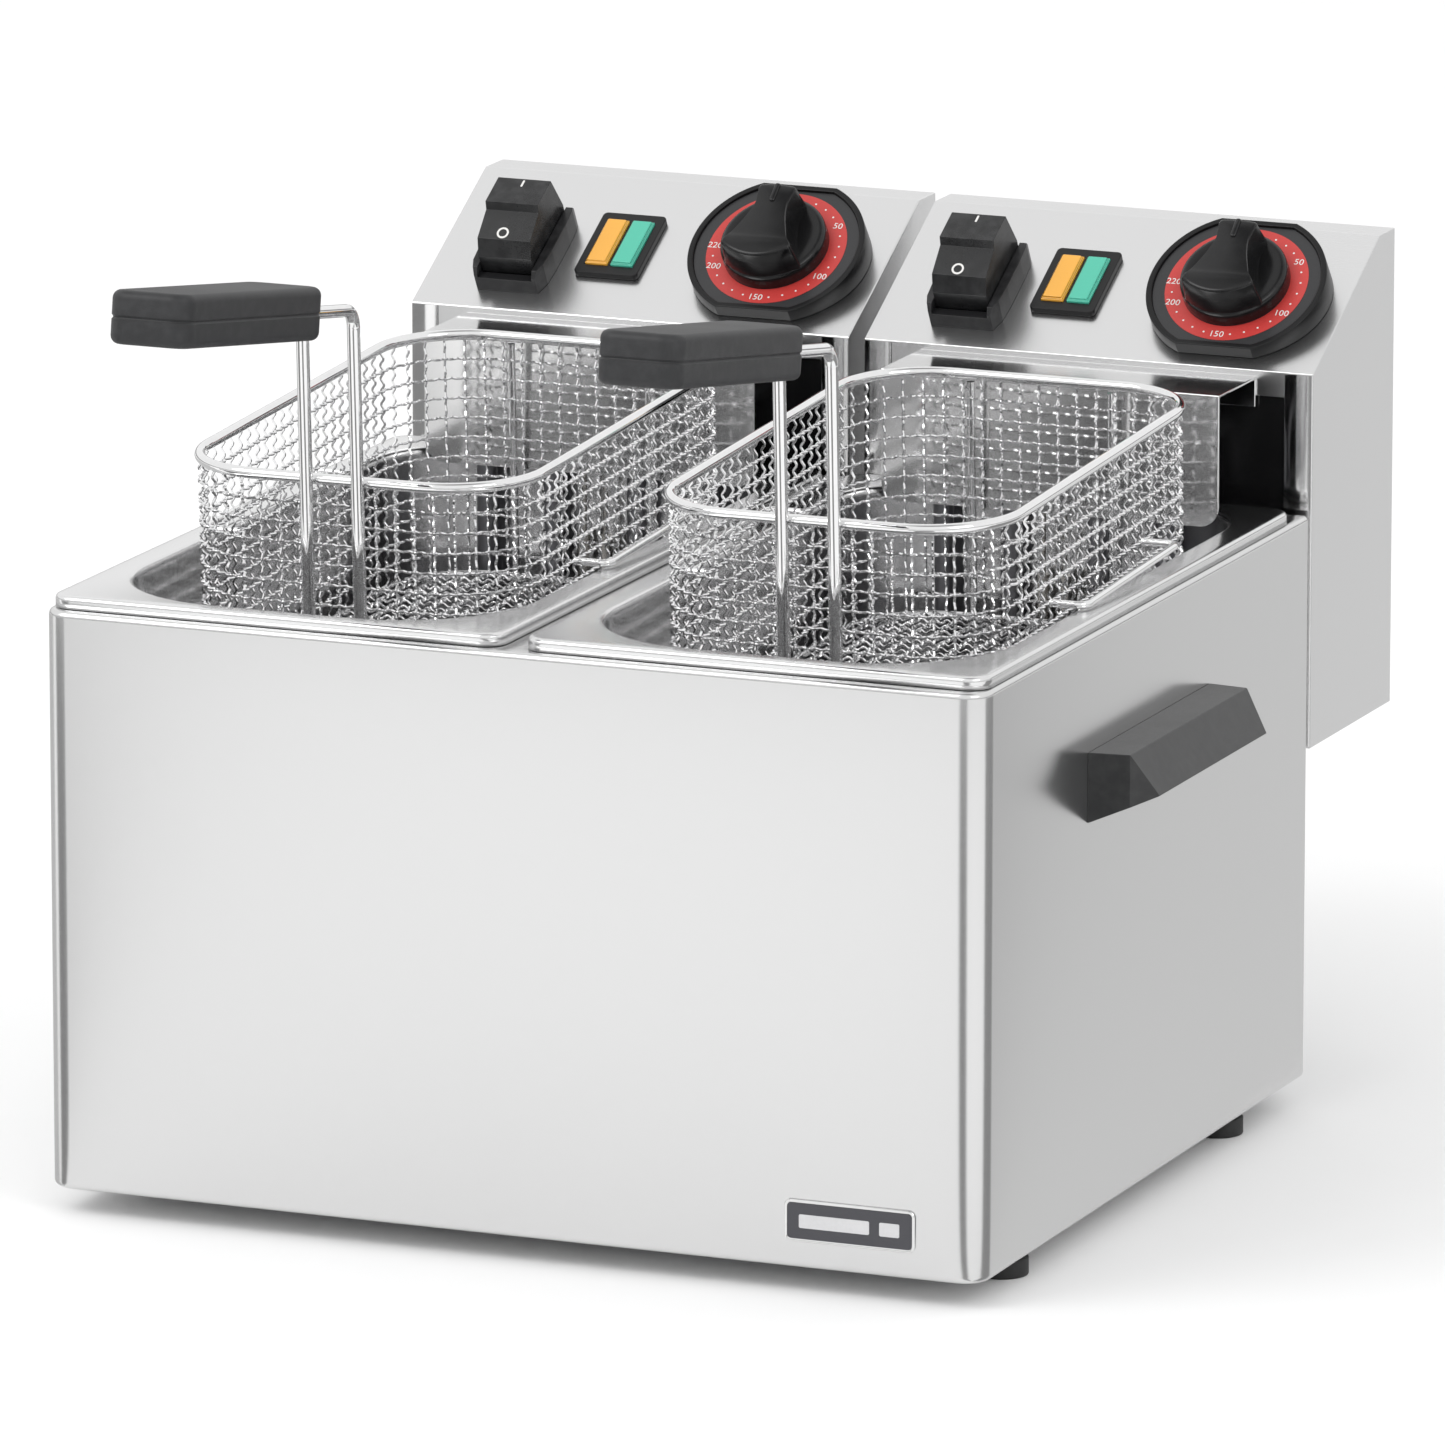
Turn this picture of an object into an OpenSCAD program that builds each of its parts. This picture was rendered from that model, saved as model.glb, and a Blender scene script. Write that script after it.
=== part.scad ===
// Double countertop deep fryer: one casing, two lift-out pans, each with its
// own wire basket and its own lift-off control head that carries the heater.
// Millimetres, +Z up, front faces -Y, origin under the middle of the whole object.

/* [Casing] */
// Width of the casing
casing_w = 380; // [378:1:384]
// Depth of the casing, front to back
casing_d = 341.2; // [341:0.2:344]
// Height of the casing without its feet
casing_h = 223.5; // [215:0.5:240]
// Outside radius of the upright front corners
corner_r = 10.4; // [6:0.2:14]
// Thickness of the folded sheet steel
sheet = 1.2; // [1:0.1:1.5]
// Height of the rubber feet
foot_h = 10; // [8:1:14]
// Radius of the rubber feet
foot_r = 10; // [8:0.5:12]

/* [Units] */
// Distance between the centre lines of the two units
unit_pitch = 193; // [193:1:195]

/* [Pan] */
// Width of the pan over its rim
pan_w = 184; // [180:1:186]
// Length of the pan over its rim
pan_l = 325; // [322:1:325]
// Depth of the pan under its rim
pan_depth = 150; // [140:5:160]
// Width of the flat flange at the front and rear of the opening
flange_w = 9.5; // [9:0.5:11]
// Width of the flat flange at the sides of the opening
side_flange = 12.5; // [12:0.5:14]
// Height of the turned-down edge of the rim
lip_h = 4.7; // [4:0.1:6]
// Plan radius of the pan body's front corners
pan_r = 52; // [36:1:54]
// Plan radius of the pan body's rear corners, beside the head's shield
pan_rear_r = 36; // [30:1:36]

/* [Basket] */
// Half width of the basket's rim rod, on its centre line
basket_hw = 69; // [66:0.5:70]
// Distance from the casing front to the front run of the rim rod
basket_front = 66; // [64:1:68]
// Length of the basket between its front and back rim runs
basket_l = 230; // [226:1:230]
// Plan radius of the rim rod's corners
basket_r = 35; // [28:1:40]
// Height of the basket's wall
basket_h = 97; // [85:1:105]
// Height of the rim rod over the pan's flange
rim_lift = 45; // [40:1:50]
// How far the rear of the basket is raised, in degrees
basket_tilt = 2.6; // [0:0.2:3]
// Radius of the two handle rods
handle_rod_r = 2.5; // [2:0.1:3]

/* [Grip] */
// Length of the moulded grip
grip_l = 126; // [110:1:135]
// Width of the moulded grip
grip_w = 33; // [30:0.5:36]
// Thickness of the moulded grip
grip_t = 20; // [18:0.5:22]
// Rise of the grip towards its front end, in degrees
grip_rise = 11.5; // [6:0.5:14]

/* [Head] */
// Width of each control head
head_w = 186.6; // [184:0.2:187]
// Gap between the casing's back and the head's front
head_gap = 4.95; // [4:0.05:6]
// Depth of the head
head_d = 91; // [88:1:96]
// Height of the head's underside above the casing's underside
head_low = 130.2; // [120:1:140]
// Height of the panel's lower edge above the casing's underside
panel_low = 278.1; // [274:1:282]
// Height of the head's top above the casing's underside
head_top = 319.7; // [316:1:324]
// Depth of the flat top behind the slanted panel
head_flat = 17.1; // [15:1:20]

/* [Controls] */
// Extra tilt of the dial's face over the panel, in degrees
dial_wedge = 9; // [0:0.5:10]
// Radius of the dial plate
dial_r = 36; // [34:0.5:37]
// Radius of the control knob's skirt
knob_r = 21.5; // [19:0.5:22]

/* [Hidden] */

$fn = 64;
eps = 0.01;
rest_gap = 0.3;
hole_play = 0.1;

// ---- levels and places ----
casing_z = foot_h;
casing_top = casing_z + casing_h;
head_y = casing_d + head_gap;
head_rear = head_y + head_d;
head_bottom = casing_z + head_low;
panel_z = casing_z + panel_low;
top_z = casing_z + head_top;
panel_run = head_d - head_flat;
panel_rise = head_top - panel_low;
panel_angle = atan2(panel_rise, panel_run);
panel_len = norm([panel_run, panel_rise]);

// ---- head cover: its outline from the side, its bore and its open front ----
head_profile = [
    [head_y, head_bottom], [head_y, panel_z], [head_rear - head_flat, top_z],
    [head_rear, top_z], [head_rear, head_bottom]
];
cover_bore = [
    [head_y + sheet, head_bottom - 1], [head_y + sheet, panel_z - sheet * 0.3],
    [head_rear - head_flat + sheet * 0.3, top_z - sheet], [head_rear + 1, top_z - sheet],
    [head_rear + 1, head_bottom - 1]
];
window_half = 81.5;

// ---- pan ----
pan_sheet = 0.8;
pan_y = 4;
flange_z = casing_top + rest_gap + lip_h;
pan_half = pan_w / 2 - side_flange;
pan_floor = flange_z - pan_depth;

// ---- casing folds ----
top_fold = 10;
bottom_fold = 26;
rear_fold = 12;
foot_x = casing_w / 2 - 14;
foot_y = [57, casing_d - 57];
foot_screw_r = 2;

// ---- carry handles ----
carry_out = 26;
carry_len = 128;
carry_wall = 3;
carry_low = casing_z + 152.5;
carry_h = 27;
carry_mid = casing_d / 2;
carry_screw_gap = 116;
carry_screw_r = 2.5;

// ---- badge ----
badge_w = 52;
badge_h = 16;
badge_t = 1.4;
badge_x = 138;
badge_z = casing_z + 18.4;
badge_pin_gap = 36;
badge_pin_r = 1.2;

// ---- basket, in its own level frame; its tilt turns about the rest bars ----
rim_rod_r = 2.15;
rib_r = 1.5;
mesh_t = 1.6;
rim_z = flange_z + rim_lift;
basket_back = basket_front + basket_l;
basket_mid = (basket_front + basket_back) / 2;
basket_floor = rim_z - basket_h;
bar_out = 84;
bar_y = [128, 224];
bar_z = flange_z + rest_gap + rib_r + 2.4;
rod_x = 10.5;
rod_y = basket_front - rim_rod_r - handle_rod_r - 0.05;
rod_rise = 69;
bend_r = 8;
grip_back = 31;
grip_half_gap = 0.1;
grip_r = 8;
grip_socket = 42;
rear_rib_x = 29;

// ---- bracket, heater and probes ----
shelf_half = 70;
shelf_out = 41;
shelf_z = panel_z - 2.4;
shield_h = 52;
shield_r = 8;
shield_y = head_y - shelf_out;
tube_r = 4;
leg_y = shield_y + sheet + tube_r + 1.3;
leg_x = [18, 46];
heater_z = pan_floor + 30;
heater_exit_z = casing_top + 26;
heater_bend = 14;
heater_front = 92;
bulb_r = 3;
bulb_tube_r = 1;
bulb_x = [-4.5, 4.5];
bulb_len = 70;

// ---- panel controls: x from the unit's centre line, s up the slope ----
rocker_x = -56;
rocker_s = 34;
rocker_w = 22.6;
switch_w = 26.6;
switch_l = 40.2;
guard_w = 31;
guard_l = 46.6;
guard_h = 10;
guard_end_h = 6;
guard_cut = 2.8;
pivot_h = 4;
pivot_r = 1.5;
lamp_x = -18.5;
lamp_s = 41.5;
lamp_w = 27;
lamp_l = 37;
lens_l = 27;
lens_w = 9.4;
lens_x = [-5.4, 5.4];
dial_x = 51;
dial_s = 38.3;
dial_low_h = 4.5;
dial_flat = 32.5;
shaft_r = 3;
shaft_play = 0.05;
knob_h = 18.5;

// ---- rear face fittings ----
reset_x = 52;
reset_z = head_bottom + 58;
reset_r = 4;
reset_travel = 3;
gland_x = -52;
gland_z = head_bottom + 26;
gland_out = 14;

// ---- overall box, so that the origin lies under its middle ----
// A point [y, z] of the basket's level frame, turned by the basket's tilt
function tilted(p) = [
    cos(basket_tilt) * (p[0] - basket_mid) - sin(basket_tilt) * (p[1] - bar_z) + basket_mid,
    sin(basket_tilt) * (p[0] - basket_mid) + cos(basket_tilt) * (p[1] - bar_z) + bar_z
];
grip_along = [-cos(grip_rise), sin(grip_rise)];
grip_up = [sin(grip_rise), cos(grip_rise)];
bend_mid = [rod_y - bend_r, rim_z + rod_rise - bend_r];
grip_start = bend_mid + bend_r * grip_up + grip_back * grip_along;
grip_tip = grip_start + grip_l * grip_along;
y_min = tilted(grip_tip - grip_up * grip_t / 2)[0];
y_max = head_rear + gland_out;
y_mid = (y_min + y_max) / 2;

// ======================= shared shapes =======================

// Moves a piece from "casing front at y = 0" to the shared origin
module framed() {
    translate([0, -y_mid, 0]) children();
}

// Unit on one side of the object: side is -1 for left, 1 for right
module unit(side) {
    framed() translate([side * unit_pitch / 2, 0, 0]) children();
}

// Rounded rectangle between two corners, true arcs
module rounded(lo, hi, r) {
    translate([lo[0] + r, lo[1]]) square([hi[0] - lo[0] - 2 * r, hi[1] - lo[1]]);
    translate([lo[0], lo[1] + r]) square([hi[0] - lo[0], hi[1] - lo[1] - 2 * r]);
    for (x = [lo[0] + r, hi[0] - r], y = [lo[1] + r, hi[1] - r]) translate([x, y]) circle(r);
}

// Slab with rounded upright corners, centred in X
module slab(half, y0, y1, z0, z1, r) {
    translate([0, 0, z0]) linear_extrude(z1 - z0) rounded([-half, y0], [half, y1], r);
}

// Plain block between two corners
module block(lo, hi) {
    translate(lo) cube(hi - lo);
}

// Outline in the YZ plane, extruded in X about its middle
module side_profile(width, points) {
    rotate([90, 0, 90]) translate([0, 0, -width / 2]) linear_extrude(width) polygon(points);
}

// Straight round rod between two points of a plane x = constant, or level along X
module rod(from, to, r) {
    d = to - from;
    translate(from) rotate([0, acos(d[2] / norm(d)), atan2(d[1], d[0])]) cylinder(r = r, h = norm(d));
}

// Quarter (or part) bend of a round rod: arc in the local XY plane, from angle 0
module bend(big_r, r, turn) {
    rotate_extrude(angle = turn) translate([big_r, 0]) circle(r);
}

// Weld bead that closes the seam between a rod and a bend
module bead(at, r) {
    translate(at) sphere(r = r + 0.06);
}

// Closed ring of round rod with rounded corners, level, rod centre at z = 0
module rod_ring(half, y0, y1, big_r, r) {
    for (s = [-1, 1]) {
        rod([s * half, y0 + big_r, 0], [s * half, y1 - big_r, 0], r);
    }
    for (y = [y0, y1]) rod([-half + big_r, y, 0], [half - big_r, y, 0], r);
    translate([half - big_r, y1 - big_r, 0]) bend(big_r, r, 90);
    translate([-half + big_r, y1 - big_r, 0]) rotate([0, 0, 90]) bend(big_r, r, 90);
    translate([-half + big_r, y0 + big_r, 0]) rotate([0, 0, 180]) bend(big_r, r, 90);
    translate([half - big_r, y0 + big_r, 0]) rotate([0, 0, 270]) bend(big_r, r, 90);
}

// Frame of the slanted panel: X across, Y up the slope from its lower edge, Z out of it
module on_panel(x, s) {
    translate([0, head_y, panel_z]) rotate([panel_angle, 0, 0]) translate([x, s, 0]) children();
}

// Frame of the dial's face: its lower edge stands dial_low_h off the panel
module on_dial() {
    on_panel(dial_x, dial_s)
        translate([0, -dial_flat, dial_low_h]) rotate([dial_wedge, 0, 0]) translate([0, dial_flat, 0])
            children();
}

// Frame of the basket, tilted about its rest bars
module on_basket() {
    translate([0, basket_mid, bar_z]) rotate([basket_tilt, 0, 0]) translate([0, -basket_mid, -bar_z])
        children();
}

// Frame of the grip: Y along the grip from its rear end, Z through its thickness
module on_grip() {
    on_basket() translate([0, grip_start[0], grip_start[1]]) rotate([-grip_rise, 0, 0]) children();
}

// ======================= casing =======================

// Plan outline of the wrapped sheet at a given inset from the outer face, open at the back
module wrap_plan(inset, rear) {
    half = casing_w / 2 - inset;
    r = max(corner_r - inset, 0.2);
    translate([-half, inset + r]) square([2 * half, rear - inset - r]);
    translate([-half + r, inset]) square([2 * half - 2 * r, rear - inset]);
    for (s = [-1, 1]) translate([s * (half - r), inset + r]) circle(r);
}

module casing_shell() {
    color("silver") framed() difference() {
        union() {
            translate([0, 0, casing_z]) linear_extrude(casing_h) difference() {
                wrap_plan(0, casing_d);
                wrap_plan(sheet, casing_d + 1);
            }
            translate([0, 0, casing_top - sheet]) linear_extrude(sheet) difference() {
                wrap_plan(0, casing_d - sheet - hole_play);
                translate([-casing_w / 2 + top_fold, top_fold])
                    square([casing_w - 2 * top_fold, casing_d]);
            }
            translate([0, 0, casing_z]) linear_extrude(sheet) difference() {
                wrap_plan(0, casing_d - sheet - hole_play);
                rounded([-casing_w / 2 + bottom_fold, bottom_fold],
                        [casing_w / 2 - bottom_fold, casing_d + 40], 4);
            }
            for (s = [-1, 1]) shell_rear_fold(s);
        }
        for (x = [-foot_x, foot_x], y = foot_y)
            translate([x, y, casing_z - 1]) cylinder(r = foot_screw_r + hole_play, h = sheet + 2);
        for (s = [-1, 1], y = carry_screw_y())
            translate([s * casing_w / 2, y, carry_low + carry_h - 7])
                rotate([0, 90, 0]) cylinder(r = carry_screw_r + hole_play, h = 4 * sheet, center = true);
        for (x = [-badge_pin_gap / 2, badge_pin_gap / 2])
            translate([badge_x + x, 0, badge_z])
                rotate([90, 0, 0]) cylinder(r = badge_pin_r + hole_play, h = 4 * sheet, center = true);
    }
}

// Upright fold at the rear edge of one side wall
module shell_rear_fold(s) {
    x = s * (casing_w / 2 - sheet);
    y = casing_d - 2 * sheet - hole_play;
    block([min(x, x - s * rear_fold), y - sheet, casing_z + sheet],
          [max(x, x - s * rear_fold), y, casing_top - sheet]);
}

module casing_back() {
    half = casing_w / 2 - sheet - hole_play;
    color("lightgray") framed() difference() {
        union() {
            block([-half, casing_d - sheet - hole_play, casing_z + sheet + hole_play],
                  [half, casing_d - hole_play, casing_top]);
            block([-half + top_fold, casing_d - top_fold, casing_top - sheet],
                  [half - top_fold, casing_d - sheet, casing_top]);
        }
        for (side = [-1, 1], row = [0 : 4])
            translate([side * unit_pitch / 2, casing_d, casing_z + 30 + 12 * row])
                back_vent();
    }
}

// One louvre slot in the back panel
module back_vent() {
    rotate([90, 0, 0]) translate([0, 0, -1]) linear_extrude(4 * sheet) rounded([-35, -2], [35, 2], 1.9);
}

module casing_base() {
    z = casing_z + sheet + hole_play;
    half = casing_w / 2 - sheet - hole_play;
    color("darkgray") framed() difference() {
        union() {
            translate([0, 0, z]) linear_extrude(sheet) intersection() {
                wrap_plan(sheet + hole_play, casing_d - 3 * sheet - 3 * hole_play);
                square([2 * half, 2 * casing_d], center = true);
            }
            for (s = [-1, 1]) base_rib(s);
        }
        for (x = [-foot_x, foot_x], y = foot_y)
            translate([x, y, z - 1]) cylinder(r = foot_screw_r + hole_play, h = sheet + 2);
        for (side = [-1, 1], col = [-3 : 3], end = [0, 1])
            translate([side * unit_pitch / 2 + 16 * col, casing_d * (0.28 + 0.44 * end), z - 1])
                linear_extrude(4 * sheet) rounded([-2.5, -25], [2.5, 25], 2.4);
    }
}

// Stiffening rib folded up from the base, under each pan
module base_rib(s) {
    z = casing_z + 2 * sheet + hole_play;
    block([s * unit_pitch / 2 - sheet / 2, 60, z - eps], [s * unit_pitch / 2 + sheet / 2, 75, z + 20]);
    block([s * unit_pitch / 2 - sheet / 2, casing_d - 75, z - eps],
          [s * unit_pitch / 2 + sheet / 2, casing_d - 60, z + 20]);
}

// Bridge between the two pans: folded channel on tabs under the front and rear folds
module centre_rail() {
    half = unit_pitch / 2 - pan_half - pan_sheet - 2.5;
    y0 = top_fold + hole_play;
    y1 = casing_d - top_fold - hole_play;
    color("silver") framed() union() {
        block([-half, y0, casing_top - sheet], [half, y1, casing_top]);
        for (s = [-1, 1])
            block([s * half - sheet / 2 - s * sheet / 2, y0, casing_top - 20],
                  [s * half + sheet / 2 - s * sheet / 2, y1, casing_top - sheet + eps]);
        for (y = [sheet + 1, y1 - 8])
            block([-half + 3, y, casing_top - 2 * sheet - 0.05], [half - 3, y + 16, casing_top - sheet - 0.05]);
        for (y = [y0, y1 - 7])
            block([-half + 3, y, casing_top - sheet - 0.1], [half - 3, y + 7, casing_top - sheet + eps]);
    }
}

module feet() {
    color("#1b1b1b") framed()
        for (x = [-foot_x, foot_x], y = foot_y)
            translate([x, y, 0]) difference() {
                union() {
                    cylinder(r = foot_r, h = foot_h - 3);
                    translate([0, 0, foot_h - 3 - eps]) cylinder(r = foot_r - 1.5, h = 3 + eps);
                }
                translate([0, 0, -1]) cylinder(r = 4.6, h = 5.2);
                cylinder(r = foot_screw_r + hole_play, h = foot_h + 1);
            }
}

// Pan-head screw up through each foot, with its nut on the base
module foot_screws() {
    color("gainsboro") framed()
        for (x = [-foot_x, foot_x], y = foot_y) translate([x, y, 4 + hole_play]) union() {
            translate([0, 0, -2.4]) cylinder(r = 4, h = 2.4);
            cylinder(r = foot_screw_r, h = foot_h + 2.5);
            translate([0, 0, foot_h - 4 + 2 * sheet + hole_play]) difference() {
                cylinder(r = 4, h = 3, $fn = 6);
                translate([0, 0, -1]) cylinder(r = foot_screw_r - 0.1, h = 5);
            }
        }
}

function carry_screw_y() = [carry_mid - carry_screw_gap / 2, carry_mid + carry_screw_gap / 2];

// Moulded carry handle, open underneath for the fingers; drawn for the right side
module carry_handle_shape() {
    outer = [[0, 0], [carry_out, 11.2], [16, carry_h], [0, carry_h]];
    inner = [[carry_wall + 1, -5], [carry_out - 1.5 * carry_wall, -5],
             [carry_out - 1.35 * carry_wall, 10.4], [16 - carry_wall / 2, carry_h - carry_wall],
             [carry_wall + 1, carry_h - carry_wall]];
    difference() {
        intersection() {
            translate([0, carry_len / 2, 0]) rotate([90, 0, 0]) linear_extrude(carry_len) polygon(outer);
            linear_extrude(carry_h) polygon([
                [0, -carry_len / 2], [16, -carry_len / 2 + 2], [carry_out, -carry_len / 2 + 7],
                [carry_out, carry_len / 2 - 7], [16, carry_len / 2 - 2], [0, carry_len / 2]
            ]);
        }
        translate([0, carry_len / 2 - 12, 0]) rotate([90, 0, 0]) linear_extrude(carry_len - 24) polygon(inner);
        for (y = [-carry_screw_gap / 2, carry_screw_gap / 2])
            translate([-1, y, carry_h - 7]) rotate([0, 90, 0]) cylinder(r = carry_screw_r + hole_play, h = 11);
    }
}

module carry_handle(side) {
    color("#222222") framed() mirror([side < 0 ? 1 : 0, 0, 0])
        translate([casing_w / 2, carry_mid, carry_low]) carry_handle_shape();
}

// Screws that hold the carry handles from inside the casing
module carry_handle_screws() {
    color("gainsboro") framed()
        for (side = [-1, 1], y = carry_screw_y())
            translate([side * (casing_w / 2 - sheet - 0.05), y, carry_low + carry_h - 7])
                rotate([0, side * 90, 0]) union() {
                    translate([0, 0, -3]) cylinder(r = 4.5, h = 3);
                    cylinder(r = carry_screw_r, h = 11);
                }
}

// Blank name plate with two pins through the front
module badge_plate() {
    color("#202024") framed() translate([badge_x, 0, badge_z]) rotate([90, 0, 0]) union() {
        linear_extrude(badge_t) rounded([-badge_w / 2, -badge_h / 2], [badge_w / 2, badge_h / 2], 2.5);
        for (x = [-badge_pin_gap / 2, badge_pin_gap / 2])
            translate([x, 0, -sheet - 1]) cylinder(r = badge_pin_r, h = sheet + 1 + eps);
    }
}

// ======================= pan =======================

module pan(side) {
    body = pan_half + pan_sheet;
    y0 = pan_y + flange_w;
    y1 = pan_y + pan_l - flange_w;
    color("#b9b9b9") unit(side) difference() {
        union() {
            slab(pan_w / 2, pan_y, pan_y + pan_l, flange_z - lip_h, flange_z, 9);
            pan_body(body, y0 - pan_sheet, y1 + pan_sheet, pan_floor, flange_z, pan_sheet);
        }
        pan_body(pan_half, y0, y1, pan_floor + pan_sheet, flange_z + 1, 0);
        difference() {
            slab(pan_w / 2 - 1, pan_y + 1, pan_y + pan_l - 1, flange_z - lip_h - 1, flange_z - 1, 8);
            pan_body(body, y0 - pan_sheet, y1 + pan_sheet, pan_floor, flange_z, pan_sheet);
        }
    }
}

// Upright block with the pan's plan shape: wide front corners, tighter rear ones
module pan_body(half, y0, y1, z0, z1, grow) {
    front_r = pan_r + grow;
    rear_r = pan_rear_r + grow;
    translate([0, 0, z0]) linear_extrude(z1 - z0) union() {
        translate([-half, y0 + front_r]) square([2 * half, y1 - y0 - front_r - rear_r]);
        translate([-half + front_r, y0]) square([2 * (half - front_r), front_r]);
        translate([-half + rear_r, y1 - rear_r]) square([2 * (half - rear_r), rear_r]);
        for (s = [-1, 1]) {
            translate([s * (half - front_r), y0 + front_r]) circle(front_r);
            translate([s * (half - rear_r), y1 - rear_r]) circle(rear_r);
        }
    }
}

// ======================= basket =======================

// Closed stand-in for the woven wire: walls and floor of the wire's overall thickness
module basket_mesh(side) {
    t = mesh_t / 2;
    z1 = rim_z - rim_rod_r - 0.05;
    color("#cfcfcf") unit(side) on_basket() difference() {
        slab(basket_hw + t, basket_front - t, basket_back + t, basket_floor, z1, basket_r + t);
        slab(basket_hw - t, basket_front + t, basket_back - t, basket_floor + mesh_t, z1 + 1, basket_r - t);
    }
}

module basket_rim(side) {
    color("#e4e4e4") unit(side) on_basket() translate([0, 0, rim_z])
        rod_ring(basket_hw, basket_front, basket_back, basket_r, rim_rod_r);
}

// Two upright rods in front of the basket, bent forward into the grip
module basket_handle_rods(side) {
    z0 = basket_floor + 1;
    color("#e0e0e0") unit(side) on_basket()
        for (x = [-rod_x, rod_x]) translate([x, 0, 0]) union() {
            rod([0, rod_y, z0], [0, rod_y, bend_mid[1]], handle_rod_r);
            translate([0, bend_mid[0], bend_mid[1]]) rotate([90, 0, 90])
                bend(bend_r, handle_rod_r, 90 - grip_rise);
            translate([0, bend_mid[0], bend_mid[1]] + bend_r * [0, grip_up[0], grip_up[1]])
                rotate([90 - grip_rise, 0, 0]) cylinder(r = handle_rod_r, h = grip_back + grip_socket - 0.5);
            bead([0, rod_y, bend_mid[1]], handle_rod_r);
            bead([0, bend_mid[0], bend_mid[1]] + bend_r * [0, grip_up[0], grip_up[1]], handle_rod_r);
        }
}

// Rest bars along both sides and the two upright ribs at the rear
module basket_ribs(side) {
    t = mesh_t / 2 + 0.05;
    color("#dadada") unit(side) on_basket() union() {
        for (s = [-1, 1]) mirror([s < 0 ? 1 : 0, 0, 0]) rest_bar(basket_hw + t);
        for (x = [-rear_rib_x, rear_rib_x])
            translate([x, basket_back + t + rib_r, basket_floor + 1])
                cylinder(r = rib_r, h = basket_h - 4.5);
    }
}

// One bar: out from the wall, along the pan's flange and back to the wall
module rest_bar(wall) {
    r = 4;
    rod([wall, bar_y[0], bar_z], [bar_out - r, bar_y[0], bar_z], rib_r);
    rod([wall, bar_y[1], bar_z], [bar_out - r, bar_y[1], bar_z], rib_r);
    rod([bar_out, bar_y[0] + r, bar_z], [bar_out, bar_y[1] - r, bar_z], rib_r);
    translate([bar_out - r, bar_y[1] - r, bar_z]) bend(r, rib_r, 90);
    translate([bar_out - r, bar_y[0] + r, bar_z]) rotate([0, 0, 270]) bend(r, rib_r, 90);
}

// One half of the grip: half is 1 for the upper shell, -1 for the lower
module grip_half(side, half) {
    z0 = half > 0 ? grip_half_gap / 2 : -grip_t / 2;
    h = grip_t / 2 - grip_half_gap / 2;
    color("#3a3a3a") unit(side) on_grip() difference() {
        translate([0, 0, z0]) linear_extrude(h) rounded([-grip_w / 2, -grip_l], [grip_w / 2, 0], grip_r);
        for (x = [-rod_x, rod_x])
            translate([x, 1, 0]) rotate([90, 0, 0]) cylinder(r = handle_rod_r + 0.05, h = grip_socket + 1);
        for (y = [-grip_socket - 14, -grip_l + 22])
            translate([0, y, 0]) cylinder(r = 2, h = grip_t - 6, center = true);
    }
}

// ======================= head =======================

// Folded cover: both sides, slanted panel, flat top and the narrow front flanges
module head_cover(side) {
    color("#e8e8e8") unit(side) difference() {
        side_profile(head_w, head_profile);
        side_profile(head_w - 2 * sheet, cover_bore);
        block([-window_half, head_y - 1, head_bottom - 1], [window_half, head_y + 2 * sheet, panel_z - 10]);
        on_panel(rocker_x, rocker_s) cube([switch_w + 0.4, switch_l + 0.4, 12], center = true);
        on_panel(lamp_x, lamp_s) cube([lamp_w - 4.8, lamp_l - 4.8, 12], center = true);
        on_dial() translate([0, 0, -20]) cylinder(r = shaft_r + 1.5, h = 40);
    }
}

// Rear and bottom plate of the head, set inside the cover
module head_back(side) {
    half = head_w / 2 - sheet - hole_play;
    y1 = head_rear - hole_play;
    color("#c4c4c4") unit(side) difference() {
        union() {
            block([-half, y1 - sheet, head_bottom + 1], [half, y1, top_z - sheet - hole_play]);
            block([-half, head_y + 3 * sheet, head_bottom + 1], [half, y1, head_bottom + 1 + sheet]);
        }
        translate([reset_x, head_rear, reset_z]) rotate([90, 0, 0])
            cylinder(r = reset_r + shaft_play, h = 8, center = true);
        translate([gland_x, head_rear, gland_z]) rotate([90, 0, 0])
            cylinder(r = 6 + hole_play, h = 8, center = true);
        for (col = [-4 : 4])
            translate([14 * col, head_y + 0.5 * head_d, head_bottom])
                linear_extrude(6) rounded([-2.5, -18], [2.5, 18], 2.4);
        for (col = [-4 : 4])
            translate([14 * col, head_rear, top_z - 40])
                rotate([90, 0, 0]) linear_extrude(6, center = true) rounded([-2.5, -12], [2.5, 12], 2.4);
    }
}

// Black front wall of the head with the tongue that hooks over the casing's rear edge
module heater_plate(side) {
    half = head_w / 2 - sheet - hole_play;
    y0 = head_y + sheet + 0.05;
    color("#151515") unit(side) difference() {
        union() {
            block([-half, y0, head_bottom + 1], [half, y0 + sheet, panel_z - 3]);
            block([-75, casing_d - top_fold + 2, casing_top + rest_gap],
                  [75, y0 + eps, casing_top + rest_gap + sheet]);
        }
        for (x = heater_legs())
            translate([x, y0, heater_exit_z]) rotate([90, 0, 0])
                cylinder(r = tube_r + hole_play, h = 8, center = true);
        for (x = bulb_x)
            translate([x, y0, heater_exit_z + 9]) rotate([90, 0, 0])
                cylinder(r = bulb_tube_r + hole_play, h = 8, center = true);
    }
}

function heater_legs() = [-leg_x[1], -leg_x[0], leg_x[0], leg_x[1]];

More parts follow.
